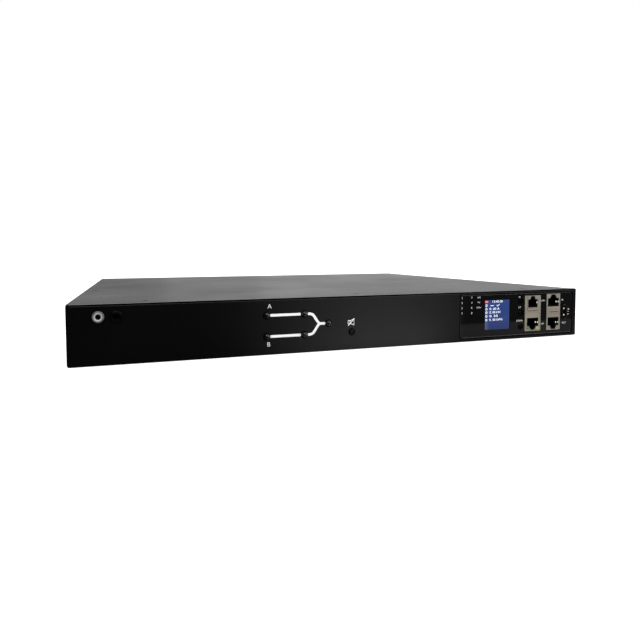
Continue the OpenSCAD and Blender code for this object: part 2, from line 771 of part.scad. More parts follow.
module inlet(x) {
    floor_y = rear_y - inlet_d + 4;
    color([0.08, 0.08, 0.08]) difference() {
        union() {
            back_from(rear_y - inlet_d, inlet_d + inlet_proud/2) translate([x, inlet_z])
                square([inlet_body_w, inlet_body_h], center = true);
            translate([x, rear_y + inlet_proud, inlet_z]) mirror([0, 1, 0])
                soft_plate(inlet_body_w + 2*inlet_lip, inlet_body_h + 2*inlet_lip, inlet_proud, 3, 0.6);
        }
        back_from(floor_y, inlet_d) translate([x, inlet_z]) inlet_outline(inlet_w, inlet_h);
        back_from(rear_y - inlet_d - 1, 6) for (p = blade_at) translate([x + p[0], inlet_z + p[1]])
            square([blade[0] + 0.1, blade[1] + 0.1], center = true);
    }
}

module inlet_1() { inlet(inlet_x); }
module inlet_2() { inlet(-inlet_x); }

// Blades that end level with the rear face and leave the housing as narrower tabs
module inlet_blades() {
    tab_l = 8;
    color("gold") for (s = [-1, 1], p = blade_at) translate([s*inlet_x + p[0], 0, inlet_z + p[1]]) union() {
        back_from(rear_y - inlet_d, inlet_d - 0.5) square(blade, center = true);
        back_from(rear_y - inlet_d - tab_l, tab_l + 1) square([6.3, 0.8], center = true);
    }
}

// Three upright slots above two slanted ones: place, slant and length
slot_at = [
    [-6.4, 8.45, 0, 8.2], [0, 8.45, 0, 8.2], [6.4, 8.45, 0, 8.2],
    [-7.4, -6.3, 29, 8.5], [7.4, -6.3, -29, 8.5]
];

module outlet(i) {
    color([0.25, 0.25, 0.26]) difference() {
        union() {
            back_from(rear_y - outlet_d, outlet_d + outlet_proud/2) translate([outlet_x(i), outlet_z])
                square([outlet_body_w, outlet_body_h], center = true);
            translate([outlet_x(i), rear_y + outlet_proud, outlet_z]) mirror([0, 1, 0])
                soft_plate(outlet_w, outlet_h, outlet_proud, 2.5, 0.8);
        }
        back_from(rear_y + outlet_proud - slot_d, slot_d + 1) translate([outlet_x(i), outlet_z])
            for (s = slot_at) translate([s[0], s[1]]) rotate(s[2]) square([slot_w, s[3]], center = true);
    }
}

module outlet_1() { outlet(0); }
module outlet_2() { outlet(1); }
module outlet_3() { outlet(2); }
module outlet_4() { outlet(3); }
module outlet_5() { outlet(4); }
module outlet_6() { outlet(5); }
module outlet_7() { outlet(6); }
module outlet_8() { outlet(7); }

// Forked brass contact at the bottom of every slot
module outlet_contacts() {
    fork_l = 7;
    leaf = 0.45;
    floor_y = rear_y + outlet_proud - slot_d;
    color("gold") for (i = [0:outlets - 1], s = slot_at)
        translate([outlet_x(i) + s[0], 0, outlet_z + s[1]]) rotate([0, -s[2], 0]) difference() {
            back_from(floor_y, fork_l) square([slot_w - gap, s[3] - 2*gap], center = true);
            back_from(floor_y + 1.2, fork_l) square([slot_w - gap - 2*leaf, s[3] + 1], center = true);
        }
}

// Brass rail along the backs of the outlets, at height z above their middle
module outlet_rail(z, h) {
    l = (outlets - 1)*outlet_pitch + outlet_body_w;
    color("goldenrod") difference() {
        translate([-l/2, rear_y - outlet_d - rail_t, outlet_z + z - h/2]) cube([l, rail_t, h]);
        for (i = [0:outlets - 1])
            rod(outlet_x(i), outlet_z + z, rear_y - outlet_d - rail_t - 1, 2.2, rail_t + 2);
    }
}

module earth_rail() { outlet_rail(8.45, 7); }
module neutral_rail() { outlet_rail(-2, 5); }
module live_rail() { outlet_rail(-10, 5); }

// ---- Inside ----

module power_board() {
    color("darkgreen") flat_board(power_edge, board_z, power_holes);
}

module control_board() {
    color("darkgreen") flat_board(control_edge, board_z, control_holes);
}

module insulation_sheet() {
    color("ivory") difference() {
        translate([power_edge[0], power_edge[1], sheet_t + glue_t])
            cube([power_w, power_edge[3] - power_edge[1], insulation_t]);
        for (p = power_holes) translate([p[0], p[1], 0]) cylinder(d = standoff_d + 1, h = sheet_t + 2);
    }
}

// Hollow pillar from the tray floor up to height z
module standoff(p, z) {
    translate([p[0], p[1], sheet_t]) difference() {
        cylinder(d = standoff_d, h = z - sheet_t);
        translate([0, 0, 0.2]) cylinder(d = screw_hole_d, h = z);
    }
}

module standoffs() {
    color("silver") {
        for (p = concat(power_holes, control_holes)) standoff(p, board_z);
        for (p = comm_holes) standoff(p, comm_z);
    }
}

// Thyristor module seen from above: body with a wider base plate on top, towards the heatsink
module thyristor(x, y) {
    plate_t = 2;
    body = [module_size[0], module_size[1] - 10, thyristor_h - plate_t];
    translate([x, y, board_top]) union() {
        translate([-body[0]/2, -body[1]/2, 0]) cube(body);
        translate([-module_size[0]/2, -module_size[1]/2, body[2]])
            cube([module_size[0], module_size[1], plate_t]);
    }
}

module thyristors() {
    color([0.15, 0.15, 0.15]) for (c = sink_at, sx = [-1, 1]) thyristor(c[0] + sx*sink_w/4, c[1]);
}

// Extruded heatsink: a base with upright fins that run across the case
module heatsink(c) {
    pitch = (sink_d - sink_fin_t)/(sink_fins - 1);
    color("silver") translate([c[0], c[1], sink_z]) right_from(-sink_w/2, sink_w) {
        translate([-sink_d/2, 0]) square([sink_d, sink_base_t]);
        for (i = [0:sink_fins - 1]) translate([-sink_d/2 + i*pitch, 0])
            square([sink_fin_t, sink_base_t + sink_fin_h]);
    }
}

module heatsink_a() { heatsink(sink_at[0]); }
module heatsink_b() { heatsink(sink_at[1]); }

module relays() {
    size = [0.1*power_w, 13, 22];
    count = 4;
    step = 0.21*power_w;
    left = power_edge[0] + 0.07*power_w;
    color("black") for (i = [0:count - 1])
        translate([left + i*step, power_edge[3] - 56, board_top]) cube(size);
}

// Potted transformer with a moulded lip
module transformers() {
    size = [0.116*power_w, 28, 22];
    step = 0.15*power_w;
    left = power_edge[0] + 0.13*power_w;
    lip = [0.8, 3];
    color([0.1, 0.1, 0.12]) for (i = [0, 1]) translate([left + i*step, power_edge[1] + 18, board_top]) {
        translate([-size[0]/2, -size[1]/2, 0]) cube(size);
        translate([-size[0]/2 - lip[0], -size[1]/2 - lip[0], 0])
            cube([size[0] + 2*lip[0], size[1] + 2*lip[0], lip[1]]);
    }
}

// Upright can capacitors with a rolled top edge
module capacitors() {
    can_r = 7;
    can_h = 26;
    count = 5;
    step = 0.0612*power_w;
    left = power_edge[0] + 0.415*power_w;
    color("navy") for (i = [0:count - 1]) translate([left + i*step, power_edge[1] + 24, board_top])
        rotate_extrude() {
            square([can_r, can_h - 1]);
            square([can_r - 1, can_h]);
            translate([can_r - 1, can_h - 1]) circle(1);
        }
}

// Ring cores lying on the board
module current_sensors() {
    core = [9.5, 6, 11];                      // mean radius, width and height of a core
    step = 0.122*power_w;
    left = power_edge[0] + 0.782*power_w;
    color([0.1, 0.2, 0.35]) for (i = [0, 1]) translate([left + i*step, power_edge[1] + 18, board_top])
        rotate_extrude() translate([core[0], core[2]/2]) round_rect(core[1], core[2], 1.2);
}

// Flat packages and two connectors on the control board
module control_chips() {
    x = (control_edge[0] + control_edge[2])/2;
    y = (control_edge[1] + control_edge[3])/2;
    color([0.12, 0.12, 0.12]) {
        for (p = [[-22, 20, 20], [18, 24, 14], [20, -12, 12]])
            translate([x + p[0] - p[2]/2, y + p[1] - p[2]/2, board_top]) cube([p[2], p[2], 1.6]);
        for (s = [-1, 1]) translate([x - 20, y + s*56 - 3, board_top]) cube([40, 6, 9]);
    }
}

// ---- Fasteners ----

module case_screws() {
    color("silver") {
        for (p = concat(front_row, rear_row, side_rows))
            translate([p[0], p[1], lid_z + sheet_t]) countersunk_screw();
        at_side_screws() countersunk_screw();
    }
}

// Pan-head screw through a board; its seat is at z = 0
module pan_screw(d, l) {
    head_h = 0.6*d;
    union() {
        translate([0, 0, -l]) cylinder(d = d, h = l + 0.1);
        cylinder(d = 1.8*d, h = head_h);
    }
}

module board_screws() {
    flat_l = board_t + 3;
    color("silver") {
        for (p = concat(power_holes, control_holes))
            translate([p[0], p[1], board_top]) pan_screw(screw_d, flat_l);
        for (p = comm_holes) translate([p[0], p[1], comm_top]) pan_screw(screw_d, flat_l);
        for (p = boss_at) translate([p[0], board_y + board_t, p[1]]) rotate([-90, 0, 0])
            pan_screw(boss_bore_d - 0.1, board_t + 3);
    }
}

module panel_nuts() {
    color("silver") for (sx = [-1, 1], sz = [-1, 1])
        translate([sx*stud_x, panel_back + sheet_t, mid_z + sz*stud_half]) rotate([-90, 0, 0])
        difference() {
            cylinder(d = 6.35, h = 2.4, $fn = 6);
            translate([0, 0, -1]) cylinder(d = screw_hole_d, h = 5);
        }
}

chassis_tray();
front_rail();
rear_panel();
top_cover();
front_panel();
display_window();
lcd_module();
display_board();
status_guides();
mimic_board();
mimic_lamps();
menu_key();
up_key();
down_key();
mute_key();
key_switches();
metal_jack();
metal_jack_nut();
black_jack();
black_jack_nut();
jack_shields();
serial_jack();
network_jack();
link_jack();
port_contacts();
port_lamps();
comm_board();
sensor_socket();
sensor_pins();
inlet_1();
inlet_2();
inlet_blades();
outlet_1();
outlet_2();
outlet_3();
outlet_4();
outlet_5();
outlet_6();
outlet_7();
outlet_8();
outlet_contacts();
live_rail();
neutral_rail();
earth_rail();
power_board();
heatsink_a();
heatsink_b();
thyristors();
relays();
transformers();
capacitors();
current_sensors();
control_board();
control_chips();
insulation_sheet();
standoffs();
case_screws();
board_screws();
panel_nuts();
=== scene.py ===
"""Looks of a one-unit rack static transfer switch, dressed around its packed construction."""

import logging
import math
from dataclasses import dataclass, field
from enum import Enum
from typing import Callable, Sequence

import bpy
from mathutils import Matrix, Vector

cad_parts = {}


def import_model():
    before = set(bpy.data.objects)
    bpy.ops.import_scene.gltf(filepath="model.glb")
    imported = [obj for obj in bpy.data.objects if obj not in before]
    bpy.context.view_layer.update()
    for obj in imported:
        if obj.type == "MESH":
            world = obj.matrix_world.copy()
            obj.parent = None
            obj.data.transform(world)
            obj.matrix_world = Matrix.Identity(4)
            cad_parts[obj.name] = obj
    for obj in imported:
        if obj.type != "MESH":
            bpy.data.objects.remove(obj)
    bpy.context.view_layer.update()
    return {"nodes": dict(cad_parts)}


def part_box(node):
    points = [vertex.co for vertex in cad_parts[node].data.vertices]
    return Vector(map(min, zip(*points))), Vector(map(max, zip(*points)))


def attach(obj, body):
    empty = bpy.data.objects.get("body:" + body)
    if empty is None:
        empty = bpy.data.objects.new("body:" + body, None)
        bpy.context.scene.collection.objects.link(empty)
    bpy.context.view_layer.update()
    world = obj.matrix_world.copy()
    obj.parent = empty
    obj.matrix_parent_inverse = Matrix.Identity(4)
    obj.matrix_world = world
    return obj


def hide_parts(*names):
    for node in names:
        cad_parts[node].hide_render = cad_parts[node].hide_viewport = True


log = logging.getLogger("transfer_switch")

Triple = tuple[float, float, float]
Colour = Triple
Pair = tuple[float, float]
Box = tuple[Vector, Vector]
Piece = bpy.types.Object

MM = 0.001
CASE = "case"
FONT_RATIO = 0.72
ARC_STEP = 15
ORIGIN = Vector((0.0, 0.0, 0.0))
BLACK: Colour = (0.0, 0.0, 0.0)
WHITE: Colour = (1.0, 1.0, 1.0)


# ---- Shader graph ----


def math_method(operation: str, reflected: bool = False) -> Callable[["Field", "Value"], "Field"]:
    """Makes a method that joins a field and another value in a Math node.

    Args:
        operation: Blender's name for the operation.
        reflected: Whether the other value comes first.

    Returns:
        The method.
    """

    def method(self: "Field", other: "Value") -> "Field":
        """Joins the two values."""
        return self.graph.math(operation, *((other, self) if reflected else (self, other)))

    return method


class Field:
    """A shader value that takes part in Python arithmetic."""

    def __init__(self, graph: "Graph", socket: bpy.types.NodeSocket) -> None:
        """Wraps one output socket of a graph."""
        self.graph = graph
        self.socket = socket

    __add__ = math_method("ADD")
    __radd__ = math_method("ADD", reflected=True)
    __sub__ = math_method("SUBTRACT")
    __rsub__ = math_method("SUBTRACT", reflected=True)
    __mul__ = math_method("MULTIPLY")
    __rmul__ = math_method("MULTIPLY", reflected=True)
    __gt__ = math_method("GREATER_THAN")


Value = Field | float


class Graph:
    """The nodes of one material, built around a Principled shader."""

    def __init__(self, name: str) -> None:
        """Starts an empty material.

        Args:
            name: The material's name.
        """
        self.material = bpy.data.materials.new(name)
        self.material.use_nodes = True
        self.tree = self.material.node_tree
        self.tree.nodes.clear()
        self.shader = self.tree.nodes.new("ShaderNodeBsdfPrincipled")
        output = self.tree.nodes.new("ShaderNodeOutputMaterial")
        self.tree.links.new(self.shader.outputs["BSDF"], output.inputs["Surface"])
        self.place = self.node("TexCoord", output="Object")

    def node(
        self,
        kind: str,
        settings: dict[str, object] | None = None,
        inputs: dict[str | int, object] | None = None,
        output: str | int = 0,
    ) -> Field:
        """Adds a node.

        Args:
            kind: The node's type, without Blender's prefix.
            settings: Properties that are set before its sockets are filled.
            inputs: Values or fields for its sockets.
            output: The socket that is returned.

        Returns:
            The chosen output.
        """
        made = self.tree.nodes.new(f"ShaderNode{kind}")
        for key, value in (settings or {}).items():
            setattr(made, key, value)
        for key, value in (inputs or {}).items():
            self._fill(made.inputs[key], value)
        return Field(self, made.outputs[output])

    def _fill(self, socket: bpy.types.NodeSocket, value: object) -> None:
        """Links a field to a socket, or writes a constant on it.

        Args:
            socket: The socket.
            value: The field or constant.
        """
        if isinstance(value, Field):
            self.tree.links.new(value.socket, socket)
        else:
            socket.default_value = value

    def math(self, operation: str, *values: Value) -> Field:
        """Adds a Math node of the operation that has Blender's name for it."""
        return self.node("Math", {"operation": operation}, dict(enumerate(values)))

    def axis(self, name: str) -> Field:
        """Returns the object's own coordinate along X, Y or Z."""
        return self.node("SeparateXYZ", None, {0: self.place}, name)

    def noise(self, scale: float, detail: float = 2.0, place: Field | None = None) -> Field:
        """Adds a noise about 0.5 with so many waves in a metre, at the object's own or another place."""
        inputs = {"Vector": place or self.place, "Scale": scale, "Detail": detail}
        return self.node("TexNoise", None, inputs, "Fac")

    def stretched(self, scale: Triple, turn: Triple = (0.0, 0.0, 0.0)) -> Field:
        """Stretches the object's coordinates along each axis and turns them about it, in radians."""
        return self.node("Mapping", None, {"Vector": self.place, "Scale": scale, "Rotation": turn})

    def spread(self, value: Field, low: float, high: float) -> Field:
        """Maps a field's range from 0.3 to 0.7 to the clamped range from low to high."""
        inputs = {"Value": value, "From Min": 0.3, "From Max": 0.7, "To Min": low, "To Max": high}
        return self.node("MapRange", {"clamp": True}, inputs)

    def ramp(self, value: Field, start: float, end: float) -> Field:
        """Rises smoothly from 0 where the field is start to 1 where it is end."""
        settings = {"clamp": True, "interpolation_type": "SMOOTHSTEP"}
        return self.node("MapRange", settings, {"Value": value, "From Min": start, "From Max": end})

    def tint(self, factor: Value, low: Colour | Field, high: Colour | Field) -> Field:
        """Mixes two colours.

        Args:
            factor: 0 for the first colour, 1 for the second.
            low: The first colour.
            high: The second colour.

        Returns:
            The mixed colour.
        """
        first, second = (mix if isinstance(mix, Field) else (*mix, 1.0) for mix in (low, high))
        return self.node("Mix", {"data_type": "RGBA"}, {"Factor": factor, 6: first, 7: second}, 2)

    def mottle(self, pattern: Field, colour: Colour, low: float, high: float) -> Field:
        """Multiplies a colour by low where a pattern is low and by high where it is high."""
        return self.tint(self.spread(pattern, 0.0, 1.0), shade(colour, low), shade(colour, high))

    def dress(self, **sockets: object) -> None:
        """Fills the shader's sockets, which are named with underscores for spaces."""
        for key, value in sockets.items():
            self._fill(self.shader.inputs[key.replace("_", " ").title().replace("Ior", "IOR")], value)

    def raise_by(self, height: Field, distance: float, strength: float) -> None:
        """Raises the shading by a height field, whose 1 stands for a distance in metres."""
        bump = self.node("Bump", None, {"Height": height, "Distance": distance, "Strength": strength})
        self._fill(self.shader.inputs["Normal"], bump)


# ---- Finishes ----


def shade(colour: Colour, factor: float) -> Colour:
    """Makes a colour lighter or darker by a factor."""
    return tuple(min(1.0, channel * factor) for channel in colour)


def grey(level: float) -> Colour:
    """Makes a neutral colour."""
    return level, level, level


@dataclass(frozen=True)
class Finish:
    """What every finish has: a name and a base colour."""

    name: str
    colour: Colour

    def material(self) -> bpy.types.Material:
        """Builds the finish's material when it is first asked for.

        Returns:
            The material.
        """
        name = f"{self.name}_finish"
        if name not in bpy.data.materials:
            self.paint(Graph(name))
        return bpy.data.materials[name]

    def paint(self, graph: Graph) -> None:
        """Fills the graph; each kind of finish has its own way."""
        raise NotImplementedError


@dataclass(frozen=True)
class PowderCoat(Finish):
    """Baked powder paint on steel: even colour, fine orange-peel grain."""

    roughness: float = 0.42
    grain: float = 1500.0

    def paint(self, graph: Graph) -> None:
        """Builds the paint.

        Args:
            graph: The material's graph.
        """
        grain = graph.noise(self.grain, 3.0)
        cloud = graph.noise(14.0, 3.0)
        speck = graph.noise(self.grain * 0.5, 1.0)
        dull = cloud * 0.6 + speck * 0.4
        graph.dress(
            base_color=graph.mottle(grain * 0.7 + cloud * 0.3, self.colour, 0.82, 1.2),
            roughness=graph.spread(dull, self.roughness - 0.04, self.roughness + 0.05),
            ior=1.5,
        )
        graph.raise_by(grain, 0.04 * MM, 0.5)


@dataclass(frozen=True)
class Moulding(Finish):
    """Moulded plastic with a spark-eroded texture."""

    roughness: float = 0.5
    texture: float = 2600.0
    depth: float = 0.02
    sheen: float = 1.48

    def paint(self, graph: Graph) -> None:
        """Builds the plastic.

        Args:
            graph: The material's graph.
        """
        texture = graph.noise(self.texture)
        graph.dress(
            base_color=graph.mottle(graph.noise(60.0), self.colour, 0.9, 1.12),
            roughness=graph.spread(texture, self.roughness - 0.05, self.roughness + 0.06),
            ior=self.sheen,
        )
        graph.raise_by(texture, self.depth * MM, 0.6)


@dataclass(frozen=True)
class Gloss(Finish):
    """Polished plastic or lacquer with faint wipe marks."""

    roughness: float = 0.06

    def paint(self, graph: Graph) -> None:
        """Builds the polish.

        Args:
            graph: The material's graph.
        """
        wipe = graph.noise(40.0, 4.0, graph.stretched((1.0, 1.0, 5.0), (0.0, 0.5, 0.0)))
        graph.dress(
            base_color=graph.mottle(graph.noise(3000.0, 0.0), self.colour, 1.0, 1.15),
            roughness=graph.spread(wipe, self.roughness, self.roughness + 0.05),
            coat_weight=0.5,
            coat_roughness=0.03,
            ior=1.49,
        )
        graph.raise_by(wipe, 0.004 * MM, 0.3)


class Grain(Enum):
    """The way that a metal was worked, as the stretch of its lines along X, Y and Z."""

    ALONG_X = (20.0, 600.0, 600.0)
    ALONG_Y = (600.0, 20.0, 600.0)
    CAST = (300.0, 300.0, 300.0)


@dataclass(frozen=True)
class Metal(Finish):
    """Bare or plated metal with the lines of its making."""

    roughness: float = 0.3
    grain: Grain = Grain.CAST
    bare: float = 1.0

    def paint(self, graph: Graph) -> None:
        """Builds the metal.

        Args:
            graph: The material's graph.
        """
        lines = graph.noise(3.0, 3.0, graph.stretched(self.grain.value))
        stain = graph.noise(90.0, 3.0)
        graph.dress(
            base_color=graph.mottle(stain * 0.5 + lines * 0.5, self.colour, 0.84, 1.08),
            metallic=self.bare,
            roughness=graph.spread(lines, self.roughness - 0.06, self.roughness + 0.08),
        )
        graph.raise_by(lines, 0.01 * MM, 0.35)


@dataclass(frozen=True)
class Laminate(Finish):
    """Circuit board laminate: solder mask over copper tracks."""

    def paint(self, graph: Graph) -> None:
        """Builds the board.

        Args:
            graph: The material's graph.
        """
        cells = graph.node("TexVoronoi", {"distance": "MANHATTAN", "feature": "F1"},
                           {"Vector": graph.place, "Scale": 120.0, "Randomness": 0.6}, "Distance")
        track = graph.math("FRACT", cells * 6.0) > 0.55
        mask = graph.noise(500.0)
        bare, covered = shade(self.colour, 0.75), shade(self.colour, 1.6)
        graph.dress(
            base_color=graph.tint(track * 0.6 + mask * 0.2, bare, covered),
            roughness=graph.spread(mask, 0.3, 0.42),
            ior=1.5,
        )
        graph.raise_by(track, 0.035 * MM, 0.7)


@dataclass(frozen=True)
class Ink(Finish):
    """Screen-printed ink; the same flat finish also paints shade into the shields' seams."""

    def paint(self, graph: Graph) -> None:
        """Builds the ink.

        Args:
            graph: The material's graph.
        """
        weave = graph.noise(4000.0, 1.0)
        base = graph.mottle(weave, self.colour, 0.93, 1.0)
        graph.dress(base_color=base, roughness=graph.spread(weave, 0.45, 0.6))
        graph.raise_by(weave, 0.01 * MM, 0.4)


@dataclass(frozen=True)
class Backlight(Finish):
    """Backlit display film between two heights, with a painted reflection that pales its left part, behind
    a fine dot mask.
    """

    low: float = 0.0
    high: float = 1.0
    left: float = 0.0
    pale_w: float = 6.0 * MM
    glow: float = 0.7
    glare: Colour = (0.17, 0.2, 0.38)

    def paint(self, graph: Graph) -> None:
        """Builds the display film.

        Args:
            graph: The material's graph.
        """
        level = (graph.axis("Z") - self.low) * (1.0 / (self.high - self.low))
        dots = graph.noise(9000.0, 0.0)
        film = graph.tint(level + dots * 0.1 - 0.05, shade(self.colour, 0.8), shade(self.colour, 1.25))
        # Painted reflection: over the film's left part its light turns towards the glare colour.
        pale = (1.0 - graph.ramp(graph.axis("X"), self.left, self.left + self.pale_w)) * 0.7
        graph.dress(
            base_color=graph.tint(level, (0.004, 0.004, 0.01), (0.006, 0.008, 0.02)),
            emission_color=graph.tint(pale, film, self.glare),
            roughness=graph.spread(dots, 0.1, 0.16),
            coat_weight=0.3,
            emission_strength=self.glow,
        )


@dataclass(frozen=True)
class Glow(Finish):
    """A lit mark on a display."""

    glow: float = 0.9

    def paint(self, graph: Graph) -> None:
        """Builds the lit mark.

        Args:
            graph: The material's graph.
        """
        dots = graph.noise(9000.0, 0.0)
        lit = graph.mottle(dots, self.colour, 0.92, 1.0)
        graph.dress(base_color=lit, emission_color=lit, roughness=graph.spread(dots, 0.2, 0.3))
        graph.dress(emission_strength=self.glow)


@dataclass(frozen=True)
class PairedLamps(Finish):
    """Two lamps moulded in one finish, with another colour to the right of the middle."""

    other: Colour = (0.38, 0.33, 0.03)
    middle: float = 0.1707
    glow: float = 0.15

    def paint(self, graph: Graph) -> None:
        """Builds the lamps.

        Args:
            graph: The material's graph.
        """
        frost = graph.noise(2500.0, 1.0)
        lit = graph.tint(graph.axis("X") > self.middle, self.colour, self.other)
        graph.dress(base_color=lit, emission_color=lit, roughness=graph.spread(frost, 0.15, 0.25))
        graph.dress(emission_strength=self.glow)


CASE_BLACK = PowderCoat("case_black", grey(0.0003), roughness=0.31)
# Painted light: the next two finishes paint highlights on the lid's lip and the panel's top edge, and the
# third paints the shade in the gaps round the lid, the window, the lamps and the keys.
EDGE_HIGHLIGHT = PowderCoat("edge_highlight", grey(0.24))
EDGE_FAINT_HIGHLIGHT = PowderCoat("edge_faint_highlight", grey(0.028))
GAP_SHADE_MATTE = Moulding("gap_shade_matte", grey(0.0005), roughness=0.8, sheen=1.08, depth=0.0)
WINDOW_BLACK = Gloss("window_black", (0.0004, 0.0004, 0.0005), roughness=0.03)
BEAD_GLOSS = Gloss("bead_gloss", grey(0.004), roughness=0.15)
LAMP_SMOKE = Gloss("lamp_smoke", grey(0.003), roughness=0.05)
KEY_BLACK = Moulding("key_black", grey(0.0008), roughness=0.2, sheen=1.3, depth=0.003)
JACK_BLACK = Moulding("jack_black", (0.003, 0.003, 0.0032), roughness=0.35)
BUSH_BLACK = Moulding("bush_black", grey(0.0008), roughness=0.4, sheen=1.33)
SOCKET_BLACK = Moulding("socket_black", (0.0035, 0.0035, 0.0037), roughness=0.4)
OUTLET_GREY = Moulding("outlet_grey", (0.006, 0.006, 0.0062), roughness=0.48)
MODULE_BLACK = Moulding("module_black", grey(0.02), roughness=0.5)
SLEEVE_BLUE = Gloss("sleeve_blue", (0.02, 0.03, 0.1), roughness=0.2)
CORE_BLUE = Moulding("core_blue", (0.03, 0.08, 0.18), roughness=0.6, texture=900.0)
FILM_IVORY = Moulding("film_ivory", (0.6, 0.57, 0.47), roughness=0.4)
GUIDE_CLEAR = Gloss("guide_clear", (0.7, 0.72, 0.72), roughness=0.12)
BOARD_GREEN = Laminate("board_green", (0.01, 0.09, 0.035))
NUT_PLATE = Metal("nut_plate", grey(0.25), roughness=0.4, bare=0.45)
BUSH_PLATE = Metal("bush_plate", grey(0.97), roughness=0.32, bare=0.55)
SPRING_TIN = Metal("spring_tin", (0.92, 0.91, 0.87), roughness=0.4, bare=0.2)
CONTACT_DULL = Metal("contact_dull", (0.1, 0.075, 0.04), roughness=0.35, grain=Grain.ALONG_Y)
SCREW_PLATE = Metal("screw_plate", grey(0.55), roughness=0.35)
SCREW_BLACK = Metal("screw_black", (0.05, 0.05, 0.052), roughness=0.4)
SHIELD_TIN = Metal("shield_tin", (0.32, 0.285, 0.23), roughness=0.5, grain=Grain.ALONG_X, bare=0.4)
# Painted shade in the creases and fold lines of the shields' seams.
SHIELD_CREASE_SHADE = Metal("shield_crease_shade", (0.17, 0.15, 0.11), roughness=0.5, grain=Grain.ALONG_X, bare=0.4)
SWITCH_TIN = Metal("switch_tin", grey(0.6), roughness=0.4)
CONTACT_GOLD = Metal("contact_gold", (0.35, 0.25, 0.11), roughness=0.25, grain=Grain.ALONG_Y)
BLADE_PLATE = Metal("blade_plate", (0.8, 0.76, 0.66), roughness=0.25, grain=Grain.ALONG_Y)
RAIL_BRASS = Metal("rail_brass", (0.8, 0.6, 0.28), roughness=0.35, grain=Grain.ALONG_X)
SINK_ALLOY = Metal("sink_alloy", (0.75, 0.76, 0.78), roughness=0.42, grain=Grain.ALONG_X)
RAIL_ZINC = Metal("rail_zinc", (0.58, 0.59, 0.6), roughness=0.45, grain=Grain.ALONG_X)
INK_WHITE = Ink("ink_white", (0.9, 0.9, 0.88))
INK_GREY = Ink("ink_grey", (0.75, 0.75, 0.74))
# Painted shade in the gaps and folds of the shields' seams, in the ink's flat finish.
SEAM_SHADE = Ink("seam_shade", (0.02, 0.018, 0.016))
LAMP_PAIR = PairedLamps("lamp_pair", (0.012, 0.15, 0.03))


# ---- Modelling bench ----


class Facing(Enum):
    """The way that a piece's own +Z points once it is in place, as a turn in radians."""

    FRONT = (math.pi / 2, 0.0, 0.0)
    REAR = (math.pi / 2, 0.0, math.pi)
    UP = (0.0, 0.0, 0.0)
    RIGHT = (math.pi / 2, 0.0, math.pi / 2)
    LEFT = (math.pi / 2, 0.0, -math.pi / 2)


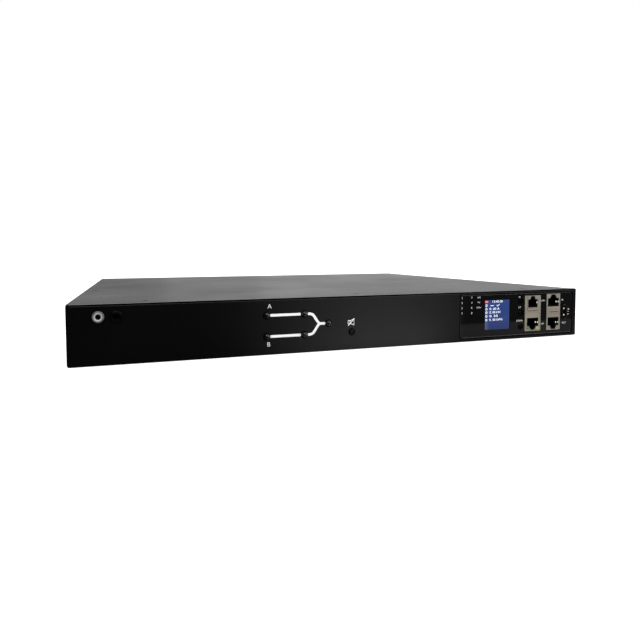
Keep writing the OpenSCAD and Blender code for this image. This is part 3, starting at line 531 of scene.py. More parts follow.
class Bench:
    """Makes pieces with Blender's operators and leaves each at the origin, its place in its mesh."""

    @staticmethod
    def pick(*pieces: Piece) -> None:
        """Leaves edit mode and selects only these pieces, the first of them active.

        Args:
            pieces: The pieces, or none to select nothing.
        """
        if bpy.context.mode != "OBJECT":
            bpy.ops.object.mode_set(mode="OBJECT")
        bpy.ops.object.select_all(action="DESELECT")
        for piece in reversed(pieces):
            piece.select_set(True)
            bpy.context.view_layer.objects.active = piece

    @staticmethod
    def settle() -> None:
        """Writes the selected piece's place, turn and scale into its mesh."""
        bpy.ops.object.transform_apply(location=True, rotation=True, scale=True)

    @staticmethod
    def place(piece: Piece, at: Vector, facing: Facing) -> Piece:
        """Turns and moves a piece, writes that into its mesh and leaves it selected.

        Args:
            piece: The piece, made about the origin.
            at: Where its origin goes.
            facing: The way its +Z points.

        Returns:
            The piece.
        """
        Bench.pick(piece)
        piece.rotation_euler = facing.value
        piece.location = at
        Bench.settle()
        return piece

    @staticmethod
    def apply(piece: Piece, kind: str, **settings: object) -> None:
        """Adds a modifier and applies it.

        Args:
            piece: The piece.
            kind: The modifier's type.
            settings: Its properties.
        """
        Bench.pick(piece)
        modifier = piece.modifiers.new(kind.lower(), kind)
        for key, value in settings.items():
            setattr(modifier, key, value)
        bpy.ops.object.modifier_apply(modifier=modifier.name)

    @staticmethod
    def block(size: Triple, bevel: float = 0.0, segments: int = 2) -> Piece:
        """Makes a block with softened edges, its back on the origin's plane.

        Args:
            size: Its extent along X, Y and Z.
            bevel: The width of its softened edges.
            segments: How many faces an edge is softened with.

        Returns:
            The block.
        """
        Bench.pick()
        bpy.ops.mesh.primitive_cube_add(size=1.0, location=(0.0, 0.0, size[2] / 2))
        piece = bpy.context.object
        piece.scale = size
        Bench.settle()
        if bevel:
            Bench.apply(piece, "BEVEL", width=bevel, segments=segments, limit_method="ANGLE")
        return piece

    @staticmethod
    def turned(rings: Sequence[Pair], sides: int = 48, hollow: bool = False) -> Piece:
        """Makes a turned piece by extruding and scaling a circle.

        Args:
            rings: Radius and height of each ring, from the back to the front.
            sides: How many sides it has.
            hollow: Whether the last ring meets the first, as on a nut.

        Returns:
            The piece, about the Z axis.
        """
        Bench.pick()
        radius, height = rings[0]
        fill = "NOTHING" if hollow else "NGON"
        bpy.ops.mesh.primitive_circle_add(
            vertices=sides, radius=radius, fill_type=fill, location=(0.0, 0.0, height)
        )
        piece = bpy.context.object
        Bench.settle()
        bpy.ops.object.mode_set(mode="EDIT")
        bpy.ops.mesh.select_all(action="SELECT")
        extrude = bpy.ops.mesh.extrude_edges_move if hollow else bpy.ops.mesh.extrude_region_move
        last = [rings[0]] if hollow else []
        for next_radius, next_height in [*rings[1:], *last]:
            extrude(TRANSFORM_OT_translate={"value": (0.0, 0.0, next_height - height)})
            ratio = next_radius / radius
            bpy.ops.transform.resize(value=(ratio, ratio, 1.0))
            radius, height = next_radius, next_height
        bpy.ops.mesh.select_all(action="SELECT")
        bpy.ops.mesh.remove_doubles(threshold=1e-7)
        bpy.ops.mesh.normals_make_consistent(inside=False)
        bpy.ops.object.mode_set(mode="OBJECT")
        return piece

    @staticmethod
    def figure(
        text: str, height: float, depth: float, turn: float = 0.0, spacing: float = 1.0, width: float = 0.0
    ) -> Piece:
        """Makes raised figures, centred on the origin.

        Args:
            text: The figures.
            height: The height of a figure.
            depth: How far they stand up.
            turn: The angle that they are turned by, in degrees.
            spacing: The letter spacing, 1 for plain.
            width: The width that the text is drawn out to, or 0.

        Returns:
            The figures as a mesh.
        """
        Bench.pick()
        bpy.ops.object.text_add()
        piece = bpy.context.object
        piece.data.body = text
        piece.data.size = height / FONT_RATIO
        piece.data.align_x = "CENTER"
        piece.data.align_y = "CENTER"
        piece.data.extrude = depth / 2
        piece.data.resolution_u = 6
        piece.data.space_character = spacing
        bpy.ops.object.convert(target="MESH")
        if width:
            piece.scale.x = width / piece.dimensions.x
        piece.rotation_euler.z = math.radians(turn)
        Bench.settle()
        return piece

    @staticmethod
    def ribbon(points: Sequence[Pair], width: float, depth: float) -> Piece:
        """Makes a flat printed line through points.

        Args:
            points: X and Y of each point.
            width: The line's width.
            depth: The line's height above its plane.

        Returns:
            The line as a mesh.
        """
        Bench.pick()
        bpy.ops.curve.primitive_nurbs_path_add()
        piece = bpy.context.object
        piece.data.splines.clear()
        spline = piece.data.splines.new("POLY")
        spline.points.add(len(points) - 1)
        for point, (x, y) in zip(spline.points, points):
            point.co = (x, y, 0.0, 1.0)
        piece.data.dimensions = "3D"
        piece.data.bevel_depth = width / 2
        piece.data.bevel_resolution = 2
        piece.data.use_fill_caps = True
        bpy.ops.object.convert(target="MESH")
        piece = bpy.context.object
        piece.scale = (1.0, 1.0, 2 * depth / width)
        Bench.settle()
        return piece

    @staticmethod
    def copy(model: Piece) -> Piece:
        """Copies a piece with a mesh of its own.

        Args:
            model: The piece.

        Returns:
            The copy.
        """
        twin = model.copy()
        twin.data = model.data.copy()
        bpy.context.scene.collection.objects.link(twin)
        return twin

    @staticmethod
    def clear_away(*pieces: Piece) -> None:
        """Removes pieces that only served to shape or repeat others."""
        for piece in pieces:
            bpy.data.meshes.remove(piece.data)


def mm(*points: Pair) -> list[Pair]:
    """Turns points in millimetres into metres."""
    return [(first * MM, second * MM) for first, second in points]


def arc(middle: Pair, radius: float, start: int, end: int) -> list[Pair]:
    """Lists the points of an arc about a middle, from a start to an end angle in degrees."""
    angles = [math.radians(angle) for angle in range(start, end + 1, ARC_STEP)]
    return [(middle[0] + radius * math.cos(a), middle[1] + radius * math.sin(a)) for a in angles]


def middle_of(node: str) -> Vector:
    """Returns the middle of a construction node."""
    low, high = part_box(node)
    return (low + high) / 2


def islands(node: Piece) -> list[Box]:
    """Finds the separate solids of a construction node.

    Args:
        node: The node.

    Returns:
        The lowest and highest corner of each solid, sorted by place.
    """
    mesh = node.data
    keys = [tuple(round(c, 6) for c in vertex.co) for vertex in mesh.vertices]
    parent: dict[tuple, tuple] = {key: key for key in keys}

    def root(key: tuple) -> tuple:
        """Finds the key that stands for a whole solid.

        Args:
            key: The key of one corner.

        Returns:
            The solid's key.
        """
        while parent[key] != key:
            parent[key] = parent[parent[key]]
            key = parent[key]
        return key

    for polygon in mesh.polygons:
        first = root(keys[polygon.vertices[0]])
        for index in polygon.vertices[1:]:
            parent[root(keys[index])] = first
    groups: dict[tuple, list[tuple]] = {}
    for key in parent:
        groups.setdefault(root(key), []).append(key)
    boxes = [(Vector(map(min, *group)), Vector(map(max, *group))) for group in groups.values()]
    return sorted(boxes, key=lambda box: tuple(round(c, 4) for c in box[0]))


# ---- The object ----


@dataclass
class Assembly:
    """What every sub-assembly has: the frame's nodes, and the front face that it is built on."""

    nodes: dict[str, Piece]
    face: float = field(init=False, default=0.0)

    def dress(self, finish: Finish, *names: str) -> None:
        """Gives construction nodes a finish.

        Args:
            finish: The finish.
            names: The nodes.
        """
        for name in names:
            node = self.nodes[name]
            node.data.materials.clear()
            node.data.materials.append(finish.material())
            log.info("dressed %s in %s", name, finish.name)

    def fit(
        self,
        piece: Piece,
        name: str,
        finish: Finish,
        slot: str,
        at: Vector,
        facing: Facing = Facing.FRONT,
        body: str = CASE,
        sharp: float = 35.0,
    ) -> None:
        """Puts a piece in its place, dresses and smooths it, and lets it ride on a body.

        Args:
            piece: The piece, made about the origin.
            name: Its name.
            finish: Its finish.
            slot: The record's material slot; not used.
            at: Where its origin goes.
            facing: The way its +Z points.
            body: The body that it rides on.
            sharp: The angle above which an edge stays sharp, in degrees.
        """
        Bench.place(piece, at, facing)
        piece.name = name
        piece.data.materials.clear()
        piece.data.materials.append(finish.material())
        bpy.ops.object.shade_smooth_by_angle(angle=math.radians(sharp))
        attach(piece, body)
        log.info("added %s on %s", name, body)

    def front(self, x: float, z: float) -> Vector:
        """Returns a point on the front face."""
        return Vector((x, self.face, z))

    @staticmethod
    def collar(inner: float, outer: float) -> Piece:
        """Models the painted shade of the gap round a lamp or key, as a thin dark ring on the panel."""
        rings = [(inner, 0.0), (outer, 0.0), (outer, 0.02 * MM), (inner, 0.03 * MM)]
        return Bench.turned(rings, hollow=True)

    def key(self, node: str, body: str) -> None:
        """Models a round key with a dished cap in its construction node's place, and the painted shade of
        the gap round it.

        Args:
            node: The key's construction node.
            body: The body that it moves with.
        """
        low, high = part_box(node)
        centre = (low + high) / 2
        flange_r, top = (high.z - low.z) / 2, high.y - low.y
        cap_r = flange_r - 1.0 * MM
        key = Bench.turned([
            (1.2 * MM, 0.0), (1.2 * MM, 0.9 * MM), (flange_r, 0.9 * MM), (flange_r, 1.7 * MM),
            (cap_r, 1.7 * MM), (cap_r, top - 0.45 * MM), (cap_r - 0.08 * MM, top - 0.2 * MM),
            (cap_r - 0.25 * MM, top - 0.05 * MM), (cap_r - 0.5 * MM, top),
            (cap_r * 0.5, top - 0.12 * MM), (cap_r * 0.2, top - 0.16 * MM),
        ])
        at = Vector((centre.x, high.y, centre.z))
        self.fit(key, f"{node}_cap", KEY_BLACK, "key_black", at, body=body, sharp=40.0)
        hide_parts(node)
        joint = self.collar(cap_r + 0.32 * MM, cap_r + 0.85 * MM)
        self.fit(joint, f"{node}_joint", GAP_SHADE_MATTE, "case_paint", self.front(centre.x, centre.z))


@dataclass
class SheetMetal(Assembly):
    """The folded case, its lid and the screws that hold them."""

    head_r: float = 2.8 * MM
    head_h: float = 1.2 * MM
    shank_r: float = 1.5 * MM
    shank_l: float = 4.0 * MM
    recess: Triple = (3.0 * MM, 0.6 * MM, 1.4 * MM)
    edge_end: float = 2.5 * MM
    # Front edge strips: a painted highlight on the lid's lip, painted shade in the gap under it, and a
    # fainter painted highlight on the panel's top edge.
    edges: tuple[tuple[str, float, float, float, Finish], ...] = (
        ("lid_edge", 0.3 * MM, 0.12 * MM, 0.18 * MM, EDGE_HIGHLIGHT),
        ("lid_gap_shade", 1.15 * MM, 0.03 * MM, 0.95 * MM, GAP_SHADE_MATTE),
        ("panel_edge", 0.3 * MM, 0.06 * MM, 1.7 * MM, EDGE_FAINT_HIGHLIGHT),
    )

    def build(self) -> None:
        """Dresses the sheets, models the front edge and replaces the screws."""
        self.dress(CASE_BLACK, "chassis_tray", "rear_panel", "top_cover", "front_panel")
        self.dress(RAIL_ZINC, "front_rail")
        self.front_edge()
        self.screws()

    def front_edge(self) -> None:
        """Models the lid's rolled lip along the front with a painted highlight, the painted shade of the
        gap under it and the panel's own edge with a fainter painted highlight.
        """
        low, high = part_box("front_panel")
        self.face = low.y
        for name, tall, proud, drop, finish in self.edges:
            size = (high.x - low.x - 2 * self.edge_end, tall, proud)
            strip = Bench.block(size, min(tall, 2 * proud) * 0.45, 4)
            at = self.front((low.x + high.x) / 2, high.z - drop)
            self.fit(strip, name, finish, "case_paint", at, sharp=60.0)

    def screws(self) -> None:
        """Sets a screw in the place of each one in the lid and the side walls."""
        lid_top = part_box("top_cover")[1].z
        case_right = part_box("chassis_tray")[1].x
        spots = islands(self.nodes["case_screws"])
        model = self.screw()
        for number, (low, high) in enumerate(spots, start=1):
            screw, at = Bench.copy(model), (low + high) / 2
            if high.z > lid_top - MM:
                at.z = high.z
                facing, finish = Facing.UP, SCREW_BLACK
            else:
                facing, finish = Facing.RIGHT if at.x > 0 else Facing.LEFT, SCREW_PLATE
                at.x = math.copysign(case_right, at.x)
            self.fit(screw, f"case_screw_{number}", finish, "screw_steel", at, facing)
            if number == 1:
                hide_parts("case_screws")
        Bench.clear_away(model)

    def screw(self) -> Piece:
        """Models one countersunk screw with a cross recess, its head level with the origin.

        Returns:
            The screw.
        """
        rim_r = self.head_r - 0.1 * MM
        rings = [(self.shank_r, -self.shank_l), (self.shank_r, -self.head_h), (rim_r, -0.15 * MM)]
        screw = Bench.turned([*rings, (self.head_r, -0.05 * MM), (rim_r, 0.0)], sides=40)
        for turn in (0.0, math.pi / 2):
            cutter = Bench.block(self.recess)
            cutter.location.z = -self.recess[2] / 2
            cutter.rotation_euler.z = turn
            Bench.settle()
            Bench.apply(screw, "BOOLEAN", operation="DIFFERENCE", object=cutter, solver="EXACT")
            Bench.clear_away(cutter)
        return screw


@dataclass
class MimicFront(Assembly):
    """The mimic diagram: lamps, printed lines, source letters, mute sign and mute key."""

    flange_w: float = 0.45 * MM
    flange_z: float = 4.0 * MM
    flange_h: float = 1.0 * MM
    dome_steps: int = 12
    # Painted shade of the gap round each lamp, as a dark ring.
    joint: Pair = (0.05 * MM, 0.55 * MM)  # its inner and outer edge, past the lamp's radius
    clear_r: float = 2.5 * MM
    line_w: float = 2.05 * MM
    bend_x: float = 6.6 * MM
    bend_r: float = 2.6 * MM
    bend_steps: int = 8
    meet_x: float = 7.9 * MM
    sign_w: float = 0.6 * MM
    letter_h: float = 3.5 * MM
    print_t: float = 0.04 * MM
    centres: list[Vector] = field(init=False, default_factory=list)

    def build(self) -> None:
        """Builds the lamps, the print and the mute key."""
        self.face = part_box("front_panel")[0].y
        self.lamps()
        self.lines()
        self.letters()
        self.mute_sign()
        self.key("mute_key", "mute_push")

    def lamps(self) -> None:
        """Models the five domed lamps and the painted shade of the gaps round them."""
        spots = islands(self.nodes["mimic_lamps"])
        low, high = spots[0]
        flange_r = (high.z - low.z) / 2
        radius = flange_r - self.flange_w
        crown, flange_top = self.face - low.y - radius, self.flange_h - self.flange_z
        rings = [(flange_r, -self.flange_z), (flange_r, flange_top), (radius, flange_top), (radius, 0.0)]
        for step in range(self.dome_steps):
            angle = step / self.dome_steps * math.pi / 2
            rings.append((radius * math.cos(angle), crown + radius * math.sin(angle)))
        models = Bench.turned(rings), self.collar(radius + self.joint[0], radius + self.joint[1])
        for number, (low, high) in enumerate(spots, start=1):
            lamp, joint = (Bench.copy(model) for model in models)
            at = self.front((low.x + high.x) / 2, (low.z + high.z) / 2)
            self.fit(lamp, f"mimic_lamp_{number}", LAMP_SMOKE, "lamp_smoked", at, sharp=60.0)
            self.fit(joint, f"mimic_lamp_{number}_joint", GAP_SHADE_MATTE, "case_paint", at)
            self.centres.append(at)
            if number == 1:
                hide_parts("mimic_lamps")
        Bench.clear_away(*models)
        self.centres.sort(key=lambda centre: (round(centre.x, 3), centre.z))

    def print_line(self, name: str, points: Sequence[Pair], width: float) -> None:
        """Prints one line on the panel, through points of X and Z."""
        line = Bench.ribbon(points, width, self.print_t)
        self.fit(line, name, INK_WHITE, "case_paint", self.front(0.0, 0.0))

    def lines(self) -> None:
        """Prints the lines from the inputs to the output."""
        in_low, in_high, switch_low, switch_high, out = self.centres
        meet = Vector((out.x - self.meet_x, 0.0, out.z))
        for label, start, end in (("a", in_high, switch_high), ("b", in_low, switch_low)):
            points = [(start.x + self.clear_r, start.z), (end.x - self.clear_r - 0.6 * MM, end.z)]
            self.print_line(f"source_line_{label}", points, self.line_w)
        for label, start in (("a", switch_high), ("b", switch_low)):
            points = [(start.x + self.clear_r + 0.4 * MM, start.z)]
            bend = Vector((start.x + self.bend_x, 0.0, start.z))
            way = (meet - bend).normalized()
            for step in range(self.bend_steps + 1):
                share = step / self.bend_steps
                level = bend - Vector((self.bend_r, 0.0, 0.0)) * (1 - share)
                sloping = bend + way * self.bend_r * share
                mixed = level * (1 - share) + sloping * share
                points.append((mixed.x, mixed.z))
            end_point = meet - way * 1.2 * MM
            points += [(end_point.x, end_point.z), (meet.x + 0.8 * MM, meet.z)]
            self.print_line(f"switch_line_{label}", points, self.line_w)
        points = [(meet.x - 0.6 * MM, meet.z), (out.x - self.clear_r - 0.2 * MM, out.z)]
        self.print_line("output_line", points, self.line_w)

    def letters(self) -> None:
        """Prints the letters of the two sources above and below their lamps."""
        in_low, in_high = self.centres[:2]
        for letter, lamp, across, lift in (("A", in_high, 2.2, 6.9), ("B", in_low, 1.2, -6.2)):
            figure = Bench.figure(letter, self.letter_h, self.print_t)
            at = lamp + Vector((across, 0.0, lift)) * MM
            self.fit(figure, f"source_letter_{letter.lower()}", INK_GREY, "case_paint", at)

    def mute_sign(self) -> None:
        """Prints a crossed loudspeaker above the mute key."""
        key = middle_of("mute_key")
        x, z = key.x - 0.5 * MM, key.z + 8.0 * MM
        for name, points in (
            ("mute_magnet", mm((-1.0, 1.3), (-2.7, 1.3), (-2.7, -1.3), (-1.0, -1.3), (-1.0, 1.3))),
            ("mute_cone", mm((-1.0, 1.1), (2.4, 2.5), (2.4, -2.5), (-1.0, -1.1))),
            ("mute_slash", mm((2.8, 2.9), (-2.7, -2.9))),
        ):
            self.print_line(name, [(x + across, z + lift) for across, lift in points], self.sign_w)


@dataclass
class DisplaySection(Assembly):
    """The glossy window with the display, the lamp numbers, the keys and their signs."""

    print_t: float = 0.03 * MM
    picture: Triple = (26.7 * MM, 26.2 * MM, 0.1 * MM)
    mark_t: float = 0.02 * MM
    figure_h: float = 2.0 * MM
    corner_r: float = 2.3 * MM
    bead_t: float = 0.05 * MM
    readings: tuple[tuple[str, float, float, float], ...] = (
        ("12:45:30", 8.2 * MM, 18.9 * MM, 1.7 * MM),
        ("0. 00 A", 5.5 * MM, 15.8 * MM, 8.1 * MM),
        ("0. 00 kW", 5.5 * MM, 17.0 * MM, 11.2 * MM),
        ("0. 50", 5.5 * MM, 14.0 * MM, 14.5 * MM),
        ("0. 00 kWh", 5.5 * MM, 19.2 * MM, 17.8 * MM),
    )
    sign_rows: tuple[float, ...] = (4.9 * MM, 8.1 * MM, 11.2 * MM, 14.5 * MM, 17.8 * MM)

    def build(self) -> None:
        """Builds the display picture, the numbers and the keys."""
        self.dress(WINDOW_BLACK, "display_window", "lcd_module")
        self.dress(GUIDE_CLEAR, "status_guides")
        self.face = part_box("display_window")[0].y
        self.screen()
        self.numbers()
        for node in ("menu_key", "up_key", "down_key"):
            self.key(node, node.replace("key", "push"))
        self.signs()
        self.bead()

    def label(
        self, text: str, x: float, z: float, height: float, turn: float = 0.0, spacing: float = 1.0
    ) -> None:
        """Prints a label on the window.

        Args:
            text: The label.
            x: The place of its middle.
            z: The height of its middle.
            height: The height of its letters.
            turn: The angle that it is turned by, in degrees.
            spacing: The letter spacing.
        """
        figure = Bench.figure(text, height, self.print_t, turn, spacing)
        name = f"label_{text.lower()}".replace("/", "")
        self.fit(figure, name, INK_GREY, "window_gloss", self.front(x, z))

    def screen(self) -> None:
        """Models the display picture: the lit film, an alarm mark and the joined rows of readings."""
        centre = middle_of("lcd_module")
        centre.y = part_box("lcd_module")[0].y
        width, height, depth = self.picture
        corner = centre + Vector((-width / 2, -depth, height / 2))
        foot, top = centre.z - height / 2, centre.z + height / 2
        blue = Backlight("display_film", (0.031, 0.066, 0.25), foot, top, centre.x - width / 2)
        film = Bench.block((width - 1.1 * MM, height, depth), 0.04 * MM)
        at = centre + Vector((0.3 * MM, 0.0, -0.35 * MM))
        self.fit(film, "display_picture", blue, "display_glass", at)
        marks = self.rows(corner)
        Bench.pick(*marks)
        bpy.ops.object.join()
        white = Glow("display_white", (0.72, 0.76, 0.82))
        self.fit(marks[0], "display_rows", white, "display_glass", ORIGIN, Facing.UP)
        alarm = Bench.block((3.0 * MM, 1.5 * MM, self.mark_t), 0.005 * MM)
        red = Glow("display_red", (0.72, 0.1, 0.13))
        at = corner + Vector((2.3 * MM, 0.0, -1.6 * MM))
        self.fit(alarm, "display_alarm", red, "display_glass", at)

    def rows(self, corner: Vector) -> list[Piece]:
        """Models the rows of the picture: readings, a dash and a tick, and small round signs.

        Args:
            corner: The picture's upper left corner.

        Returns:
            The marks, each in place.
        """
        marks = []
        for text, start, end, down in self.readings:
            figure = Bench.figure(text, self.figure_h, self.mark_t, width=end - start)
            at = corner + Vector(((start + end) / 2, 0.0, -down))
            marks.append(Bench.place(figure, at, Facing.FRONT))
        for points in (mm((6.3, -5.2), (9.9, -5.2)), mm((12.9, -4.7), (13.9, -5.8), (16.0, -3.9))):
            line = Bench.ribbon(points, 0.5 * MM, self.mark_t)
            marks.append(Bench.place(line, corner, Facing.FRONT))
        sign = Bench.turned(mm((0.65, 0.0), (1.0, 0.0), (1.0, 0.02), (0.65, 0.02)), sides=24, hollow=True)
        for down in self.sign_rows:
            at = corner + Vector((2.2 * MM, 0.0, -down))
            marks.append(Bench.place(Bench.copy(sign), at, Facing.FRONT))
        Bench.clear_away(sign)
        return marks

    def numbers(self) -> None:
        """Prints the numbers of the status lamps and the names of three of them."""
        guides = islands(self.nodes["status_guides"])
        columns = sorted({round((low.x + high.x) / 2, 4) for low, high in guides})
        heights = sorted({round((low.z + high.z) / 2, 4) for low, high in guides}, reverse=True)
        for row, z in enumerate(heights):
            for column, x in enumerate(columns, start=1):
                self.label(str(2 * row + column), x - 3.55 * MM, z - 0.2 * MM, 1.7 * MM)
        for name, z in zip(("A/B", "TX", "RUN"), heights):
            self.label(name, columns[1] + 3.7 * MM, z - 0.3 * MM, 1.5 * MM, spacing=1.05)

    def signs(self) -> None:
        """Prints the names of the keys and sockets."""
        for node, name, lift in (("menu_key", "M", 2.9), ("up_key", "UP", 5.3), ("down_key", "DOWN", 5.1)):
            key = middle_of(node)
            self.label(name, key.x - 1.1 * MM, key.z + lift * MM, 1.5 * MM)
        sensor, z = middle_of("sensor_socket").x, middle_of("sensor_pins").z
        between = (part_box("serial_jack")[1].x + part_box("link_jack")[0].x) / 2
        for name, x, across, lift, height, turn, spacing in (
            ("IN", sensor, -2.1, 11.1, 1.4, 0.0, 1.0),
            ("OUT", sensor, 0.1, -10.4, 1.55, 0.0, 1.1),
            ("T/H", sensor, 5.2, 0.0, 1.9, 90.0, 1.8),
            ("COM", between, -1.0, 11.1, 1.4, 0.0, 1.0),
            ("NET", between, -1.0, -10.3, 1.4, 0.0, 1.0),
        ):
            self.label(name, x + across * MM, z + lift * MM, height * MM, turn, spacing)

    def bead(self) -> None:
        """Models the narrow bright edge that runs round the window, and the painted shade of the gap
        outside it.
        """
        low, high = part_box("display_window")
        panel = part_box("front_panel")[0].y
        for name, inset, width, face, finish in (
            ("window_bead", 0.25 * MM, 0.3 * MM, self.face, BEAD_GLOSS),
            ("window_gap_shade", -0.45 * MM, 0.8 * MM, panel, GAP_SHADE_MATTE),
        ):
            margin = inset + self.corner_r
            left, right, foot, top = low.x + margin, high.x - margin, low.z + margin, high.z - margin
            points = []
            for start, x, z in ((-90, right, foot), (0, right, top), (90, left, top), (180, left, foot)):
                points += arc((x, z), self.corner_r, start, start + 90)
            line = Bench.ribbon([*points, points[0]], width, self.bead_t)
            self.fit(line, name, finish, "window_gloss", Vector((0.0, face, 0.0)), sharp=80.0)


@dataclass
class SignalSockets(Assembly):
    """The round jacks, the modular jacks and the sensor socket."""

    panel_t: float = 3.0 * MM
    nut_bore_r: float = 3.05 * MM
    bush_r: float = 2.9 * MM
    mouth_r: float = 1.95 * MM
    rim: Pair = (2.25 * MM, 4.2 * MM)  # the radius of its ends, and their distance from its middle
    fold_t: float = 0.06 * MM
    fold_bevel: float = 0.02 * MM
    # Strips across each shield's seam: painted shade along the fold line, in the gap and in the creases,
    # and a lip in the shield's own tin.
    folds: tuple[tuple[str, float, float, float, Finish], ...] = (
        ("line", 1.0, 0.25 * MM, 0.0, SHIELD_CREASE_SHADE),
        ("joint", 0.62, 0.55 * MM, -0.1 * MM, SEAM_SHADE),
        ("lip", 0.98, 0.5 * MM, 0.5 * MM, SHIELD_TIN),
        ("crease_up", 0.98, 0.22 * MM, 2.2 * MM, SHIELD_CREASE_SHADE),
        ("crease_down", 0.98, 0.22 * MM, -1.9 * MM, SHIELD_CREASE_SHADE),
    )
    spring_steps: tuple[Triple, ...] = ((0.5 * MM, 0.85 * MM, 0.25 * MM), (2.3 * MM, 1.1 * MM, 0.9 * MM))

    def build(self) -> None:
        """Dresses the sockets and models the round jacks, nuts, folds and springs."""
        self.dress(JACK_BLACK, "serial_jack", "network_jack", "link_jack")
        self.dress(SOCKET_BLACK, "sensor_socket")
        self.dress(SHIELD_TIN, "jack_shields")
        self.dress(CONTACT_DULL, "port_contacts")
        self.dress(SPRING_TIN, "sensor_pins")
        self.dress(LAMP_PAIR, "port_lamps")
        self.nut("metal_jack_nut", NUT_PLATE, "jack_chrome")
        self.nut("black_jack_nut", BUSH_BLACK, "jack_black")
        self.round_jack("metal_jack", BUSH_PLATE, "jack_chrome")
        self.round_jack("black_jack", BUSH_BLACK, "jack_black")
        self.liner()
        self.sensor_contacts()
        self.seams()
        self.springs()

    def nut(self, node: str, finish: Finish, slot: str) -> None:
        """Models a ring nut with a stepped face.

        Args:
            node: The nut's construction node.
            finish: Its finish.
            slot: Its material slot.
        """
        low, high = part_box(node)
        outer, inner, depth = (high.z - low.z) / 2 - 0.4 * MM, self.nut_bore_r, high.y - low.y
        rings = [
            (inner, 0.0), (outer, 0.0), (outer, depth * 0.25), (outer - 0.25 * MM, depth * 0.5),
            (outer - 0.6 * MM, depth * 0.9), (outer - 0.75 * MM, depth), (inner + 0.35 * MM, depth),
            (inner + 0.1 * MM, depth * 0.9), (inner, depth * 0.75),
        ]
        nut = Bench.turned(rings, sides=64, hollow=True)
        at = Vector(((low.x + high.x) / 2, high.y, (low.z + high.z) / 2))
        self.fit(nut, f"{node}_ring", finish, slot, at, sharp=50.0)
        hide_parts(node)

    def round_jack(self, node: str, finish: Finish, slot: str) -> None:
        """Models a round jack: a moulded body behind the panel and a bush with a funnel mouth.

        Args:
            node: The jack's construction node.
            finish: The finish of the bush.
            slot: The bush's material slot.
        """
        low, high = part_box(node)
        x, z = (low.x + high.x) / 2, (low.z + high.z) / 2
        panel_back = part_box("front_panel")[0].y + self.panel_t
        body = Bench.block((high.x - low.x, high.z - low.z, high.y - panel_back), 0.4 * MM)
        self.fit(body, f"{node}_body", JACK_BLACK, "jack_black", Vector((x, high.y, z)))
        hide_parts(node)
        reach = panel_back - low.y + 0.2 * MM
        bush = Bench.turned([
            (self.bush_r, 0.0), (self.bush_r, reach - 0.2 * MM), (self.bush_r - 0.2 * MM, reach),
            (self.mouth_r, reach - 1.2 * MM), (self.mouth_r, 0.3 * MM),
        ])
        self.fit(bush, f"{node}_bush", finish, slot, Vector((x, panel_back + 0.2 * MM, z)), sharp=30.0)

    def liner(self) -> None:
        """Models the insulating liner in the bore of the metal jack."""
        at = middle_of("metal_jack_nut")
        at.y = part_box("metal_jack_nut")[0].y
        liner = Bench.turned(mm((1.93, -3.0), (1.93, -1.35), (1.65, -1.45), (1.3, -2.9)), sides=40)
        self.fit(liner, "metal_jack_liner", BUSH_BLACK, "jack_black", at)

    def sensor_contacts(self) -> None:
        """Models the round heads of the two sensor contacts and the bright rim round them."""
        pins = islands(self.nodes["sensor_pins"])
        model = Bench.turned(mm((0.6, 0.0), (0.8, 0.2), (0.8, 1.0), (0.6, 1.3), (0.25, 1.4)), sides=32)
        for number, (low, high) in enumerate(pins, start=1):
            head = Bench.copy(model)
            at = Vector(((low.x + high.x) / 2, low.y + 0.9 * MM, (low.z + high.z) / 2))
            self.fit(head, f"sensor_contact_{number}", SPRING_TIN, "contact_gold", at, sharp=40.0)
        Bench.clear_away(model)
        x, z = middle_of("sensor_socket").x, middle_of("sensor_pins").z
        radius, half = self.rim
        points = [*arc((x, z + half), radius, 0, 180), *arc((x, z - half), radius, -180, 0)]
        rim = Bench.ribbon([*points, points[0]], 0.25 * MM, 0.04 * MM)
        at = Vector((0.0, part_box("sensor_socket")[0].y, 0.0))
        self.fit(rim, "sensor_rim", CONTACT_DULL, "socket_black", at, sharp=80.0)

    def fold(self, name: str, size: Pair, at: Vector, finish: Finish) -> None:
        """Models one fold, crease or gap as a thin strip on a shield; the dark ones are painted shade."""
        strip = Bench.block((*size, self.fold_t), self.fold_bevel)
        self.fit(strip, name, finish, "shield_tin", at)

    def seams(self) -> None:
        """Models the folded seams across the shields, each a lip over painted shade in its gap with
        painted shade in the creases, and painted shade along a fold of the upper shield.
        """
        lower, upper, twin = islands(self.nodes["jack_shields"])
        twin_z = (twin[0].z + twin[1].z) / 2
        for side, (low, high), z in (("left", lower, lower[1].z), ("right", twin, twin_z)):
            for part, share, tall, lift, finish in self.folds:
                at = Vector(((low.x + high.x) / 2, low.y, z + lift))
                self.fold(f"{side}_shield_{part}", ((high.x - low.x) * share, tall), at, finish)
        # Painted shade along the fold of the upper shield.
        low, high = upper
        at = Vector((low.x + 2.7 * MM, low.y, (low.z + high.z) / 2))
        self.fold("upper_shield_fold", (0.3 * MM, high.z - low.z - 0.6 * MM), at, SEAM_SHADE)

    def springs(self) -> None:
        """Models the bright earthing springs that stand into each port from its right wall."""
        lower, upper, twin = islands(self.nodes["jack_shields"])
        wires = islands(self.nodes["port_contacts"])
        for name, (low, high), half, inward, count in (
            ("network", lower, 6.3 * MM, -1, 2),
            ("serial", upper, 5.3 * MM, 1, 1),
            ("link", twin, 6.3 * MM, -1, 2),
        ):
            x = (low.x + high.x) / 2
            rows = {round((foot.z + top.z) / 2, 3) for foot, top in wires
                    if abs((foot.x + top.x) / 2 - x) < 5 * MM and low.z < foot.z < high.z}
            for index, row in enumerate(sorted(rows)):
                for step, wide, deep in self.spring_steps[:count]:
                    spring = Bench.block((wide, 1.5 * MM, 0.6 * MM), 0.25 * MM, 3)
                    lift = (1 if index else inward) * 3.1 * MM
                    at = Vector((x + half - step, low.y + deep + 0.6 * MM, row + lift))
                    label = f"{name}_spring_{index}_{int(step / MM)}"
                    self.fit(spring, label, SPRING_TIN, "shield_tin", at, sharp=60.0)


